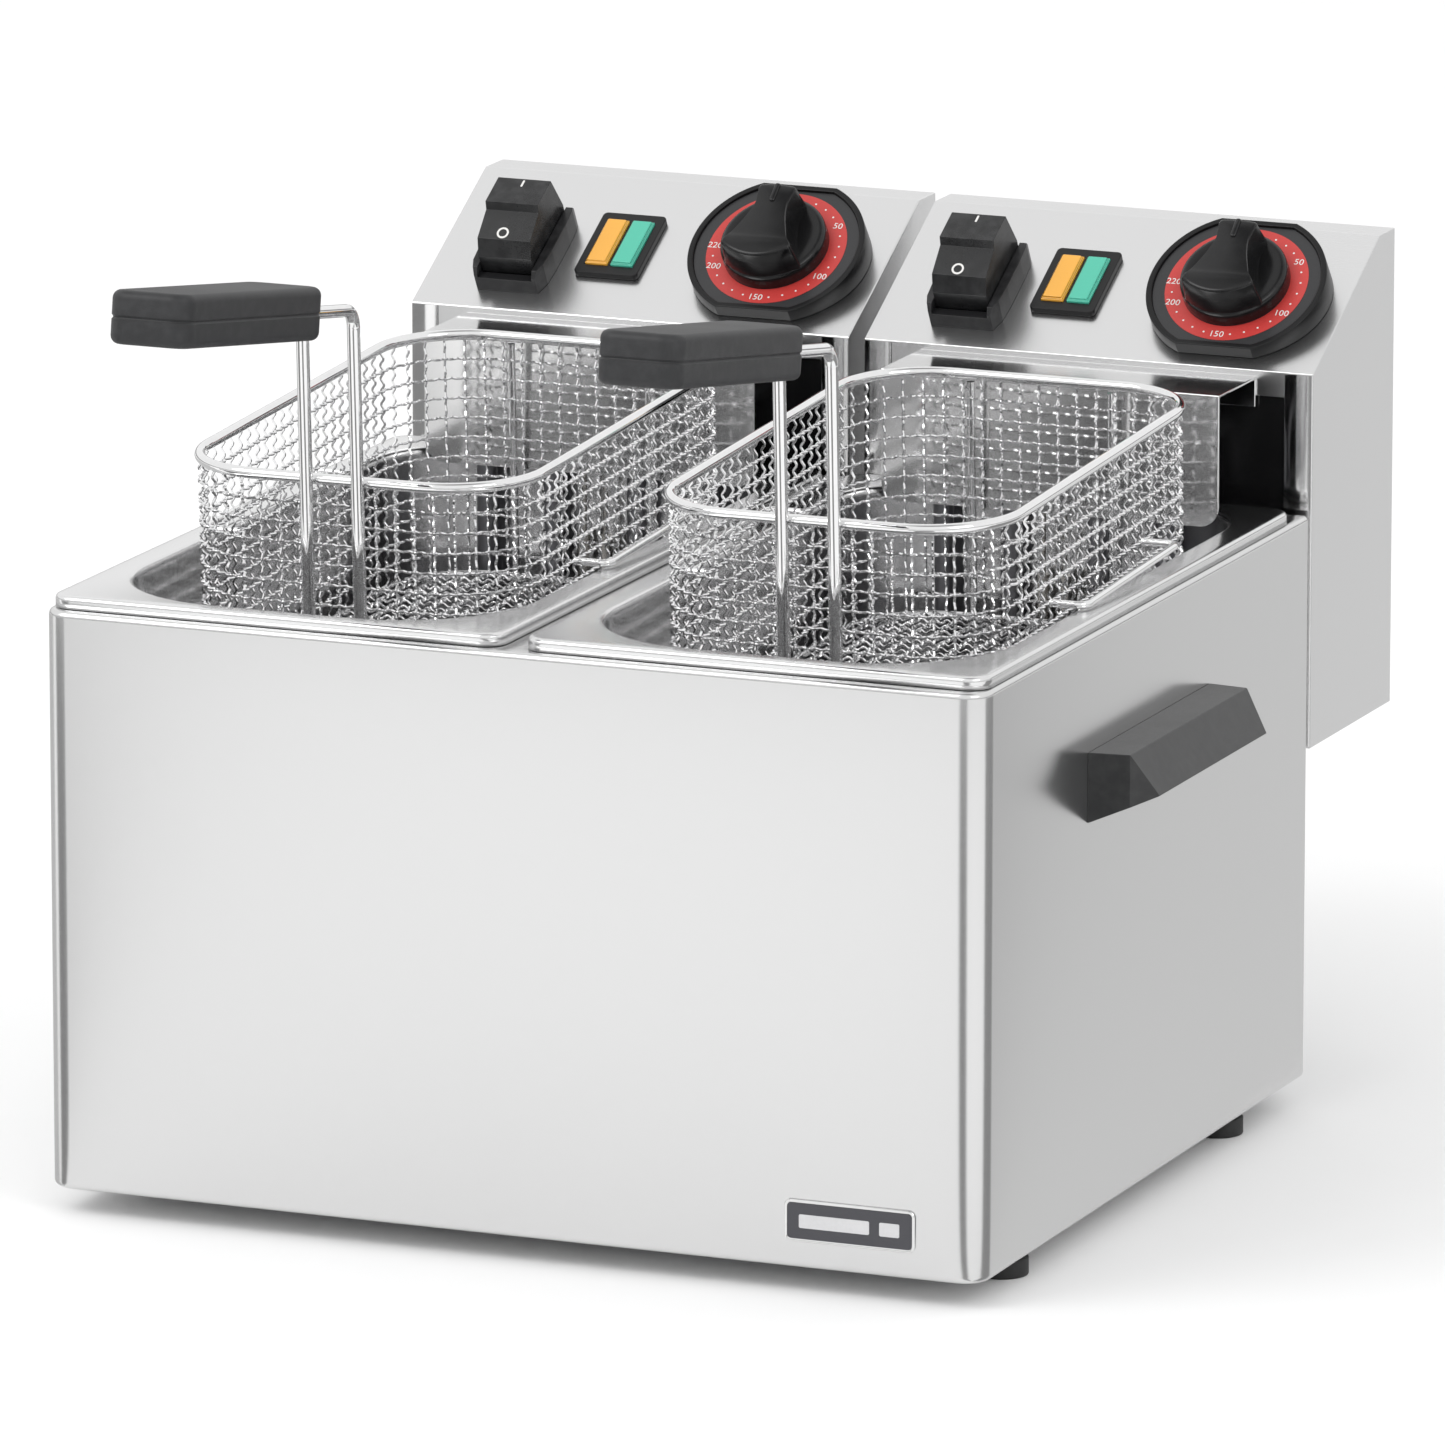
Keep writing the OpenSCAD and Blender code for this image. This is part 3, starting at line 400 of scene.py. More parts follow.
class Finishes:
    """The finishes of the fryer, by what they are."""

    casing = Finish(
        "satin_casing", (0.7, 0.7, 0.7), metallic=1.0, rough=0.22, rough_spread=0.02, tone_spread=0.02,
        stretch=(30.0, 30.0, 2600.0), bump=0.0000025, cloud=4.0)
    panel = Finish(
        "satin_panel", (0.755, 0.755, 0.757), metallic=1.0, rough=0.26, rough_spread=0.02,
        tone_spread=0.02, stretch=(30.0, 2600.0, 2600.0), bump=0.000003, cloud=5.0)
    galvanised = Finish(
        "galvanised", (0.56, 0.57, 0.58), metallic=1.0, rough=0.45, rough_spread=0.08, tone_spread=0.2,
        stretch=even(90.0), bump=0.00001, cloud=40.0)
    pan = Finish(
        "pan_steel", (0.76, 0.76, 0.762), metallic=1.0, rough=0.2, rough_spread=0.04, tone_spread=0.04,
        stretch=(1500.0, 40.0, 1500.0), bump=0.000003, cloud=14.0)
    polished = Finish(
        "polished_steel", (0.78, 0.78, 0.78), metallic=1.0, rough=0.12, rough_spread=0.04,
        tone_spread=0.04, stretch=(60.0, 2200.0, 60.0), bump=0.000003, cloud=12.0)
    chrome = Finish(
        "bright_wire", (0.83, 0.83, 0.832), metallic=1.0, rough=0.06, rough_spread=0.03, tone_spread=0.05,
        stretch=even(700.0), bump=0.000003, cloud=60.0)
    mesh = Finish(
        "woven_wire", (0.84, 0.84, 0.845), metallic=1.0, rough=0.09, rough_spread=0.04, tone_spread=0.1,
        bump=0.000004, cloud=120.0)
    # The grip, carry handle, switch, rocker and knob carry a painted edge highlight: a lighter tone on their
    # convex edges.
    grip = Finish(
        "moulded_grip", (0.024, 0.0245, 0.026), rough=0.5, tone_spread=0.14, stretch=even(1700.0),
        bump=0.00006, cloud=22.0, painted_highlight_tone=(0.09, 0.09, 0.095), painted_highlight_amount=0.5, specular=0.4)
    handle = Finish(
        "carry_handle_plastic", (0.02, 0.0205, 0.0215), rough=0.34, tone_spread=0.12,
        stretch=even(1300.0), bump=0.00003, cloud=20.0, painted_highlight_tone=(0.1, 0.1, 0.1), painted_highlight_amount=0.3)
    switch = Finish(
        "switch_plastic", (0.012, 0.012, 0.013), rough=0.34, tone_spread=0.15, stretch=even(1500.0),
        cloud=30.0, painted_highlight_tone=(0.12, 0.12, 0.125), painted_highlight_amount=0.35, specular=0.35)
    rocker = Finish(
        "rocker_plastic", (0.01, 0.0103, 0.011), rough=0.3, tone_spread=0.12, stretch=even(1600.0),
        cloud=30.0, painted_highlight_tone=(0.14, 0.14, 0.145), painted_highlight_amount=0.35, specular=0.4)
    knob = Finish(
        "knob_gloss", (0.005, 0.005, 0.0055), rough=0.22, rough_spread=0.04, tone_spread=0.1,
        stretch=even(800.0), bump=0.00001, cloud=25.0, painted_highlight_tone=(0.08, 0.08, 0.08), painted_highlight_amount=0.3,
        specular=0.35)
    dial = Finish(
        "dial_black", (0.006, 0.006, 0.0065), rough=0.32, tone_spread=0.12, stretch=even(1400.0),
        cloud=25.0, specular=0.3)
    dial_face = Finish(
        "dial_face", (0.034, 0.034, 0.036), rough=0.36, tone_spread=0.15, stretch=even(1400.0),
        cloud=25.0, specular=0.4)
    scale_red = Finish(
        "scale_red", (0.56, 0.045, 0.04), rough=0.42, tone_spread=0.1, bump=0.00001, cloud=30.0)
    print_white = Finish(
        "print_white", (0.78, 0.77, 0.75), rough=0.5, rough_spread=0.04, bump=0.00001, cloud=30.0)
    amber = Finish(
        "lens_amber", (0.62, 0.15, 0.008), rough=0.24, rough_spread=0.03, tone_spread=0.1,
        stretch=(40.0, 1500.0, 1500.0), bump=0.00004, cloud=60.0, coat=0.2, specular=0.3)
    green = Finish(
        "lens_green", (0.01, 0.15, 0.092), rough=0.24, rough_spread=0.03, tone_spread=0.12,
        stretch=(40.0, 1500.0, 1500.0), bump=0.00004, cloud=60.0, coat=0.2, specular=0.3)
    badge = Finish(
        "badge_black", (0.01, 0.01, 0.012), rough=0.18, rough_spread=0.03, tone_spread=0.1,
        stretch=even(700.0), bump=0.00001, cloud=30.0, coat=0.4)
    badge_grey = Finish(
        "badge_grey", (0.62, 0.62, 0.63), rough=0.3, rough_spread=0.03, tone_spread=0.08,
        stretch=even(700.0), bump=0.00001, cloud=30.0)
    black_plate = Finish(
        "black_plate", (0.008, 0.008, 0.0085), rough=0.16, rough_spread=0.04, tone_spread=0.15,
        stretch=even(600.0), bump=0.000004, cloud=20.0, specular=0.6)
    heater = Finish(
        "heater_sheath", (0.16, 0.155, 0.15), metallic=0.85, rough=0.42, rough_spread=0.08,
        tone_spread=0.3, stretch=even(400.0), cloud=25.0)
    probe = Finish(
        "nickel_probe", (0.56, 0.54, 0.51), metallic=1.0, rough=0.25, rough_spread=0.06, tone_spread=0.15,
        stretch=even(600.0), bump=0.00001, cloud=30.0)
    zinc = Finish(
        "zinc_screw", (0.62, 0.62, 0.6), metallic=1.0, rough=0.3, rough_spread=0.06, tone_spread=0.1,
        stretch=even(800.0), bump=0.00001, cloud=50.0)
    rubber = Finish(
        "foot_rubber", (0.022, 0.022, 0.022), rough=0.68, rough_spread=0.06, tone_spread=0.2,
        bump=0.00008, cloud=30.0)
    bakelite = Finish("bakelite", (0.03, 0.026, 0.024), rough=0.42, tone_spread=0.15, cloud=30.0)
    cream = Finish("terminal_cream", (0.74, 0.7, 0.6), rough=0.45, tone_spread=0.08, cloud=30.0)
    red_button = Finish(
        "button_red", (0.5, 0.02, 0.015), rough=0.3, rough_spread=0.04, tone_spread=0.1, cloud=30.0)


# ---------------------------------------------------------------- mesh tools


class Shape:
    """Points and faces gathered in a local frame, in millimetres."""

    start_normal = Vector((0.31, 0.17, 0.93))

    def __init__(self) -> None:
        """Starts empty."""
        self.points: list[Vector] = []
        self.faces: list[tuple[int, ...]] = []

    def loft(self, rings: Sequence[Ring], round_: bool = True, along: bool = False,
             caps: tuple[bool, bool] = (True, True)) -> "Shape":
        """Joins rings of equal length with quads.

        Args:
            rings: The rings, in order.
            round_: Whether each ring closes on itself.
            along: Whether the last ring joins the first.
            caps: Whether the first and the last ring are filled.

        Returns:
            This shape.
        """
        base, size = len(self.points), len(rings[0])
        for ring in rings:
            self.points.extend(ring)
        steps = len(rings) if along else len(rings) - 1
        spans = size if round_ else size - 1
        for i in range(steps):
            a, b = base + i * size, base + ((i + 1) % len(rings)) * size
            for k in range(spans):
                n = (k + 1) % size
                self.faces.append((a + k, a + n, b + n, b + k))
        if caps[0] and not along:
            self.faces.append(tuple(base + k for k in reversed(range(size))))
        if caps[1] and not along:
            last = base + (len(rings) - 1) * size
            self.faces.append(tuple(last + k for k in range(size)))
        return self

    def fill(self, loop: Ring) -> "Shape":
        """Adds one flat face.

        Args:
            loop: The face's corners.

        Returns:
            This shape.
        """
        base = len(self.points)
        self.points.extend(loop)
        self.faces.append(tuple(range(base, base + len(loop))))
        return self

    def tube(self, path: Sequence[Vector], radius: float, sides: int = 8,
             closed: bool = False) -> "Shape":
        """Sweeps a round wire along a path.

        Args:
            path: The centreline.
            radius: The wire's radius.
            sides: Faces round the wire.
            closed: Whether the path is a loop.

        Returns:
            This shape.
        """
        count = len(path)
        rings: list[Ring] = []
        normal = self.start_normal
        angles = [2 * math.pi * k / sides for k in range(sides)]
        for i, point in enumerate(path):
            before = path[i - 1] if i or closed else point
            after = path[(i + 1) % count] if i < count - 1 or closed else point
            tangent = (after - before).normalized()
            normal = (normal - tangent * normal.dot(tangent)).normalized()
            other = tangent.cross(normal)
            rings.append([point + radius * (math.cos(a) * normal + math.sin(a) * other) for a in angles])
        if closed:
            turn = min(range(sides), key=lambda k: (rings[0][k] - rings[-1][0]).length)
            rings.append(rings[0][turn:] + rings[0][:turn])
            return self.loft(rings, caps=(False, False))
        return self.loft(rings)

    def ring(self, outer: float, inner: float, low: float, high: float, steps: int) -> "Shape":
        """Adds a flat round ring about the origin.

        Args:
            outer: Outer radius.
            inner: Inner radius.
            low: Its underside.
            high: Its top.
            steps: Segments round it.

        Returns:
            This shape.
        """
        section = ((outer, low), (outer, high), (inner, high), (inner, low))
        return self.loft([Outline.circle(r, z, steps) for r, z in section], along=True)

    def moved(self, matrix: Matrix) -> "Shape":
        """Applies a matrix to all points."""
        self.points = [matrix @ p for p in self.points]
        return self

    def join(self, other: "Shape") -> "Shape":
        """Takes in another shape.

        Args:
            other: The shape to take in.

        Returns:
            This shape.
        """
        base = len(self.points)
        self.points.extend(other.points)
        self.faces.extend(tuple(base + k for k in face) for face in other.faces)
        return self


class Outline:
    """Plan outlines used by several pieces."""

    @staticmethod
    def arc(cx: float, cy: float, r: float, start: float, turn: float, steps: int) -> list[Point2]:
        """Points on an arc, in degrees, both ends included."""
        return [(cx + r * math.cos(math.radians(start + turn * k / steps)),
                 cy + r * math.sin(math.radians(start + turn * k / steps))) for k in range(steps + 1)]

    @classmethod
    def rounded(cls, half: float, y0: float, y1: float, front: float, rear: float,
                steps: int = 10) -> list[Point2]:
        """Rounded rectangle, from its front right corner round to the left.

        Args:
            half: Half the width.
            y0: Front edge.
            y1: Rear edge.
            front: Radius of the front corners.
            rear: Radius of the rear corners.
            steps: Segments in each corner.

        Returns:
            The outline's points, anticlockwise.
        """
        return (cls.arc(half - front, y0 + front, front, -90, 90, steps)
                + cls.arc(half - rear, y1 - rear, rear, 0, 90, steps)
                + cls.arc(-half + rear, y1 - rear, rear, 90, 90, steps)
                + cls.arc(-half + front, y0 + front, front, 180, 90, steps))

    @classmethod
    def circle(cls, r: float, z: float, steps: int) -> Ring:
        """A level ring round the origin."""
        turns = (2 * math.pi * k / steps for k in range(steps))
        return [Vector((r * math.cos(a), r * math.sin(a), z)) for a in turns]

    @staticmethod
    def level(points: Iterable[Point2], z: float) -> Ring:
        """Lifts a plan outline to a height."""
        return [Vector((x, y, z)) for x, y in points]


@dataclass(frozen=True)
class Bevel:
    """Rounding of a carried-over CAD node's edges."""

    width: float = 0.4
    segments: int = 2
    angle: float = 32.0


class Workshop:
    """Turns shapes into pieces of the model and dresses CAD nodes."""

    weld: float = 0.00001
    sharp: float = math.radians(38)
    flat: float = math.radians(0.4)

    @classmethod
    def piece(cls, name: str, shape: Shape, place: Matrix, body: str, finish: Finish, slot: str,
              replaces: Sequence[str] = (), smooth: bool = True) -> bpy.types.Object:
        """Makes one mesh piece.

        Args:
            name: The piece's name.
            shape: Its points and faces, in millimetres.
            place: Matrix from the shape's frame to the shared frame.
            body: The CAD body that it moves with.
            finish: Its surface finish.
            slot: Name of a material slot; not used.
            replaces: CAD nodes that it stands for.
            smooth: Whether soft edges are shaded smooth.

        Returns:
            The new object.
        """
        mesh = bpy.data.meshes.new(name)
        mesh.from_pydata([place @ p for p in shape.points], [], shape.faces)
        work = bmesh.new()
        work.from_mesh(mesh)
        bmesh.ops.remove_doubles(work, verts=work.verts, dist=cls.weld)
        bmesh.ops.recalc_face_normals(work, faces=work.faces)
        work.to_mesh(mesh)
        work.free()
        if smooth:
            mesh.shade_smooth()
            mesh.set_sharp_from_angle(angle=cls.sharp)
        piece = bpy.data.objects.new(name, mesh)
        bpy.context.scene.collection.objects.link(piece)
        mesh.materials.append(finish.material())
        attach(piece, body)
        if replaces:
            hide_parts(*replaces)
        LOG.info("%s: %d faces on %s", name, len(mesh.polygons), body)
        return piece

    @staticmethod
    def soften(piece: bpy.types.Object, bevel: Bevel) -> None:
        """Rounds the sharp edges of a piece.

        Args:
            piece: The piece.
            bevel: The rounding.
        """
        edge = piece.modifiers.new("rounded_edges", "BEVEL")
        edge.width = bevel.width * MM
        edge.segments = bevel.segments
        edge.limit_method = "ANGLE"
        edge.angle_limit = math.radians(bevel.angle)
        edge.harden_normals = True

    @classmethod
    def dress(cls, node: str, finish: Finish, bevel: Bevel | None = None) -> None:
        """Gives a carried-over CAD node its finish and softened edges.

        Args:
            node: The node's name.
            finish: Its surface finish.
            bevel: Rounding of its edges, if any.
        """
        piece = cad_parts[node]
        piece.data.materials.clear()
        piece.data.materials.append(finish.material())
        if bevel:
            weld = piece.modifiers.new("welded", "WELD")
            weld.merge_threshold = cls.weld
            flat = piece.modifiers.new("flat_faces", "DECIMATE")
            flat.decimate_type = "DISSOLVE"
            flat.angle_limit = cls.flat
            cls.soften(piece, bevel)
        LOG.info("%s: dressed in %s", node, finish.name)


# ---------------------------------------------------------------- casing


@dataclass
class Casing:
    """Wrapped steel casing with its base, back, bridge rail, feet and carry handles."""

    half: float = 190.0
    depth: float = 341.2
    low: float = 10.0
    top: float = 233.5
    corner: float = 10.4
    corner_steps: int = 12
    sheet: float = 1.2
    fold: float = 2.4
    top_fold: float = 10.0
    bottom_fold: float = 26.0
    back_gap: float = 1.4
    tightest: float = 0.2
    badge_x: float = 138.0
    badge_z: float = 28.4
    badge_half: Point2 = (26.0, 8.0)
    badge_corner: float = 2.5
    frame_steps: tuple[Point2, ...] = ((0.0, 0.1), (0.0, 0.7), (0.25, 1.0), (0.9, 1.0), (1.1, 0.85))
    frame_w: float = 1.2
    field_corner: float = 1.6
    field_z: Point2 = (0.9, 1.02)
    bars: tuple[tuple[str, float, float], ...] = (("long", -20.0, 8.0), ("short", 12.0, 20.0))
    bar_half_h: float = 2.6
    bar_corner: float = 0.6
    bar_z: Point2 = (1.0, 1.12)

    def outline(self, inset: float) -> list[Point2]:
        """Open plan outline at an inset, from the rear left corner round the front."""
        r = max(self.corner - inset, self.tightest)
        side = self.half - inset
        rear = self.depth - (self.back_gap if inset > self.sheet + 0.1 else 0.0)
        left = Outline.arc(-side + r, inset + r, r, 180, 90, self.corner_steps)
        right = Outline.arc(side - r, inset + r, r, 270, 90, self.corner_steps)
        return [(-side, rear), *left, *right, (side, rear)]

    def profile(self) -> list[Point2]:
        """Closed section of the sheet as inset and height: base fold, wall and top fold."""
        bend, inner = self.fold, self.fold - self.sheet
        outer_low = [(bend + x, self.low + bend + y) for x, y in Outline.arc(0, 0, bend, 270, -90, 5)]
        outer_top = [(bend + x, self.top - bend + y) for x, y in Outline.arc(0, 0, bend, 180, -90, 6)]
        inner_top = [(bend + x, self.top - bend + y) for x, y in Outline.arc(0, 0, inner, 90, 90, 4)]
        inner_low = [(bend + x, self.low + bend + y) for x, y in Outline.arc(0, 0, inner, 180, 90, 4)]
        return ([(self.bottom_fold, self.low)] + outer_low + outer_top + [(self.top_fold, self.top)]
                + [(self.top_fold, self.top - self.sheet)] + inner_top + inner_low
                + [(self.bottom_fold, self.low + self.sheet)])

    def build_shell(self) -> None:
        """Builds the wrapped sheet as one lofted skin."""
        rings = [Outline.level(self.outline(inset), z) for inset, z in self.profile()]
        shape = Shape().loft(rings, round_=False, along=True)
        for end in (0, -1):
            shape.fill([ring[end] for ring in rings])
        Workshop.piece("casing_wrap", shape, Place.world(), "casing", Finishes.casing, "steel_satin",
                       ["casing_shell"])

    def build_badge(self) -> None:
        """Builds the blank name plate: pale frame, black field and two plain bars."""
        place = Place.world() @ Matrix.Translation((self.badge_x, 0, self.badge_z))
        place = place @ Matrix.Rotation(math.radians(90), 4, "X")
        w, h = self.badge_half
        r, edge = self.badge_corner, self.frame_w
        plate = Shape().loft([Outline.level(Outline.rounded(w - i, -h + i, h - i, r - i, r - i, 6), z)
                              for i, z in self.frame_steps])
        Workshop.piece("badge_frame", plate, place, "casing", Finishes.polished, "steel_polished")
        inner = Outline.rounded(w - edge, -h + edge, h - edge, self.field_corner, self.field_corner, 6)
        field = Shape().loft([Outline.level(inner, z) for z in self.field_z])
        Workshop.piece("badge_field", field, place, "casing", Finishes.badge, "badge_black",
                       ["badge_plate"])
        for tag, start, end in self.bars:
            plan = Outline.rounded((end - start) / 2, -self.bar_half_h, self.bar_half_h,
                                   self.bar_corner, self.bar_corner, 4)
            bar = Shape().loft([Outline.level(plan, z) for z in self.bar_z])
            bar.moved(Matrix.Translation(((start + end) / 2, 0, 0)))
            Workshop.piece(f"badge_bar_{tag}", bar, place, "casing", Finishes.badge_grey, "badge_black")

    def build(self) -> None:
        """Builds and dresses the whole casing."""
        self.build_shell()
        self.build_badge()
        Workshop.dress("casing_back", Finishes.casing, Bevel(0.3))
        Workshop.dress("casing_base", Finishes.galvanised)
        Workshop.dress("centre_rail", Finishes.casing, Bevel(0.3))
        Workshop.dress("feet", Finishes.rubber, Bevel(0.6))
        Workshop.dress("foot_screws", Finishes.zinc, Bevel(0.3))
        Workshop.dress("carry_handle_screws", Finishes.zinc)
        for side in Side:
            Workshop.dress(f"carry_handle_{side.tag}", Finishes.handle, Bevel(0.9, 3, 20.0))


# ---------------------------------------------------------------- pan


@dataclass
class Pan:
    """Lift-out oil pan with a flat flange, turned-down lip and deep rounded bowl."""

    side: Side
    half: float = 92.0
    y0: float = 4.0
    y1: float = 329.0
    corner: float = 9.0
    lip_low: float = 233.8
    flange: float = 238.5
    open_half: float = 79.5
    open_y: Point2 = (13.5, 319.5)
    front_r: float = 52.0
    rear_r: float = 36.0
    floor: float = 88.5
    sheet: float = 0.8
    lip_r: float = 1.7
    edge_r: float = 2.6
    bowl_r: float = 14.0
    lip_w: float = 3.0
    wall_z: Point2 = (200.0, 150.0)

    def rim_ring(self, inset: float, z: float) -> Ring:
        """Ring of the outer rim."""
        r = self.corner - inset
        plan = Outline.rounded(self.half - inset, self.y0 + inset, self.y1 - inset, r, r, 12)
        return Outline.level(plan, z)

    def bowl_ring(self, grow: float, z: float) -> Ring:
        """Ring of the opening, grown outwards."""
        front, rear = self.front_r + grow, self.rear_r + grow
        return Outline.level(Outline.rounded(self.open_half + grow, self.open_y[0] - grow,
                                             self.open_y[1] + grow, front, rear, 12), z)

    def build(self) -> None:
        """Builds the pan as one skin with a real sheet thickness."""
        rings = [self.rim_ring(0.0, self.lip_low)]
        for x, z in Outline.arc(self.lip_r, self.flange - self.lip_r, self.lip_r, 180, -90, 5):
            rings.append(self.rim_ring(x, z))
        rings.append(self.rim_ring(self.lip_w, self.flange))
        for x, z in Outline.arc(self.edge_r, self.flange - self.edge_r, self.edge_r, 90, 90, 5):
            rings.append(self.bowl_ring(x, z))
        for z in self.wall_z:
            rings.append(self.bowl_ring(0.0, z))
        bend_z = self.floor + self.bowl_r + self.sheet
        for x, z in Outline.arc(-self.bowl_r, bend_z, self.bowl_r, 0, -90, 6):
            rings.append(self.bowl_ring(x, z))
        shape = Shape().loft(rings, caps=(False, True))
        piece = Workshop.piece(f"pan_skin_{self.side.tag}", shape, Place.unit(self.side),
                               f"pan_{self.side.tag}", Finishes.pan, "steel_pan", [f"pan_{self.side.tag}"])
        mesh = piece.data
        if max(mesh.polygons, key=lambda p: len(p.vertices)).normal.z < 0:
            mesh.flip_normals()
        thick = piece.modifiers.new("sheet", "SOLIDIFY")
        thick.thickness = self.sheet * MM
        thick.offset = -1.0


# ---------------------------------------------------------------- basket


@dataclass
class Basket:
    """Lift-out basket: woven crimped wire, rim rod, handle rods, rest bars and grip."""

    side: Side
    half: float = 69.0
    y0: float = 66.0
    y1: float = 296.0
    corner: float = 35.0
    low: float = 187.3
    high: float = 281.6
    wires_round: int = 86
    rows: int = 12
    wire: float = 0.52
    crimp: float = 0.72
    waves: int = 3
    sides: int = 5
    samples: int = 10
    grip_l: float = 126.0
    grip_half: float = 16.5
    grip_t: float = 10.0
    grip_corner: float = 8.0
    grip_fillet: float = 3.2
    grip_seam: tuple[Point2, ...] = ((0.55, 0.05), (0.45, 0.35), (0.0, 0.8))
    edge_rod: float = 1.3
    edge_drop: float = 0.2
    edge_steps: int = 160

    @property
    def body(self) -> str:
        """The CAD body that the basket moves with."""
        return f"basket_{self.side.tag}"

    @property
    def girth(self) -> float:
        """Length of the plan outline."""
        straight = 2 * (2 * (self.half - self.corner) + (self.y1 - self.y0 - 2 * self.corner))
        return straight + 2 * math.pi * self.corner

    def on_wall(self, s: float, out: float) -> Point2:
        """A point of the wall's plan outline.

        Args:
            s: Distance along the outline from the middle of the front.
            out: Distance outwards from it.

        Returns:
            The point's x and y.
        """
        s %= self.girth
        flat, deep = self.half - self.corner, self.y1 - self.y0 - 2 * self.corner
        turn, r = math.pi / 2 * self.corner, self.corner
        if s < flat:
            return s, self.y0 - out
        s -= flat
        pieces = [(turn, flat, self.y0 + r, -90.0), (deep, 0.0, 0.0, 0.0), (turn, flat, self.y1 - r, 0.0),
                  (2 * flat, 0.0, 0.0, 90.0), (turn, -flat, self.y1 - r, 90.0), (deep, 0.0, 0.0, 180.0),
                  (turn, -flat, self.y0 + r, 180.0)]
        for index, (length, cx, cy, start) in enumerate(pieces):
            if s < length:
                if index % 2 == 0:
                    angle = math.radians(start + 90 * s / length)
                    return cx + (r + out) * math.cos(angle), cy + (r + out) * math.sin(angle)
                return [(self.half + out, self.y0 + r + s), (flat - s, self.y1 + out),
                        (-self.half - out, self.y1 - r - s)][index // 2]
            s -= length
        return -flat + s, self.y0 - out

    def uprights(self, shape: Shape) -> None:
        """Adds the crimped upright wires.

        Args:
            shape: The shape that takes them.
        """
        pitch = self.girth / self.wires_round
        row = (self.high - self.low) / self.rows
        steps = self.rows * self.samples
        for i in range(self.wires_round):
            path = []
            for k in range(steps + 1):
                z = self.low + (self.high - self.low) * k / steps
                out = self.crimp * math.cos(math.pi * self.waves * (z - self.low) / row + math.pi * i)
                path.append(Vector((*self.on_wall(i * pitch, out), z)))
            shape.tube(path, self.wire, self.sides)

    def hoops(self, shape: Shape) -> None:
        """Adds the crimped level wires.

        Args:
            shape: The shape that takes them.
        """
        row = (self.high - self.low) / self.rows
        steps = self.wires_round * self.samples
        for j in range(1, self.rows):
            path = []
            for k in range(steps):
                out = -self.crimp * math.cos(math.pi * self.waves * k / self.samples + math.pi * j)
                path.append(Vector((*self.on_wall(self.girth * k / steps, out), self.low + j * row)))
            shape.tube(path, self.wire, self.sides, closed=True)

    def reach(self, across: float, half: float, r: float) -> float:
        """How far the rounded outline pulls in at a distance from the middle."""
        over = across - (half - r)
        return r - math.sqrt(max(r * r - over * over, 0.0)) if over > 0 else 0.0

    def floor(self, shape: Shape) -> None:
        """Adds the woven floor and the rod round its edge.

        Args:
            shape: The shape that takes them.
        """
        pitch = self.girth / self.wires_round
        mid = (self.y0 + self.y1) / 2
        deep = (self.y1 - self.y0) / 2
        spans = ((self.half, deep, 0), (deep, self.half, 1))
        for reach, length, axis in spans:
            count = int(reach / pitch)
            for i in range(-count, count + 1):
                across = i * pitch
                end = length - self.reach(abs(across), reach, self.corner)
                steps = max(int(2 * end / pitch * self.samples), 6)
                path = []
                for k in range(steps + 1):
                    t = -end + 2 * end * k / steps
                    sign = 1 if axis else -1
                    up = sign * self.crimp * math.cos(math.pi * self.waves * t / pitch + math.pi * i)
                    point = (across, mid + t) if axis == 0 else (t, mid + across)
                    path.append(Vector((*point, self.low + up)))
                shape.tube(path, self.wire, self.sides)
        rod = [Vector((*self.on_wall(self.girth * k / self.edge_steps, 0.0), self.low - self.edge_drop))
               for k in range(self.edge_steps)]
        shape.tube(rod, self.edge_rod, closed=True)

    def build_mesh(self) -> None:
        """Builds the woven walls and floor."""
        uprights, hoops, floor = Shape(), Shape(), Shape()
        self.uprights(uprights)
        self.hoops(hoops)
        self.floor(floor)
        place = Place.basket(self.side)
        node = f"basket_mesh_{self.side.tag}"
        Workshop.piece(f"woven_uprights_{self.side.tag}", uprights, place, self.body, Finishes.mesh,
                       "wire_chrome", [node])
        Workshop.piece(f"woven_hoops_{self.side.tag}", hoops, place, self.body, Finishes.mesh,
                       "wire_chrome")
        Workshop.piece(f"woven_floor_{self.side.tag}", floor, place, self.body, Finishes.mesh,
                       "wire_chrome")

    def build_grip(self) -> None:
        """Builds the two moulded halves of the grip, with a groove at their seam."""
        for tag, sign in (("upper", 1), ("lower", -1)):
            levels = list(self.grip_seam)
            levels += [(self.grip_fillet + x, self.grip_t - self.grip_fillet + y) for x, y in
                       Outline.arc(0, 0, self.grip_fillet, 180, -90, 6)]
            rings = []
            for inset, z in levels:
                plan = Outline.rounded(self.grip_half - inset, -self.grip_l + inset, -inset,
                                       self.grip_corner - inset, self.grip_corner - inset, 10)
                rings.append(Outline.level(plan, sign * z))
            shape = Shape().loft(rings)
            Workshop.piece(f"grip_{tag}_{self.side.tag}", shape, Place.grip(self.side), self.body,
                           Finishes.grip, "plastic_black", [f"basket_grip_{tag}_{self.side.tag}"])

    def build(self) -> None:
        """Builds and dresses the whole basket."""
        self.build_mesh()
        self.build_grip()
        for part in ("basket_rim", "basket_handle_rods", "basket_ribs"):
            Workshop.dress(f"{part}_{self.side.tag}", Finishes.chrome)


# ---------------------------------------------------------------- head


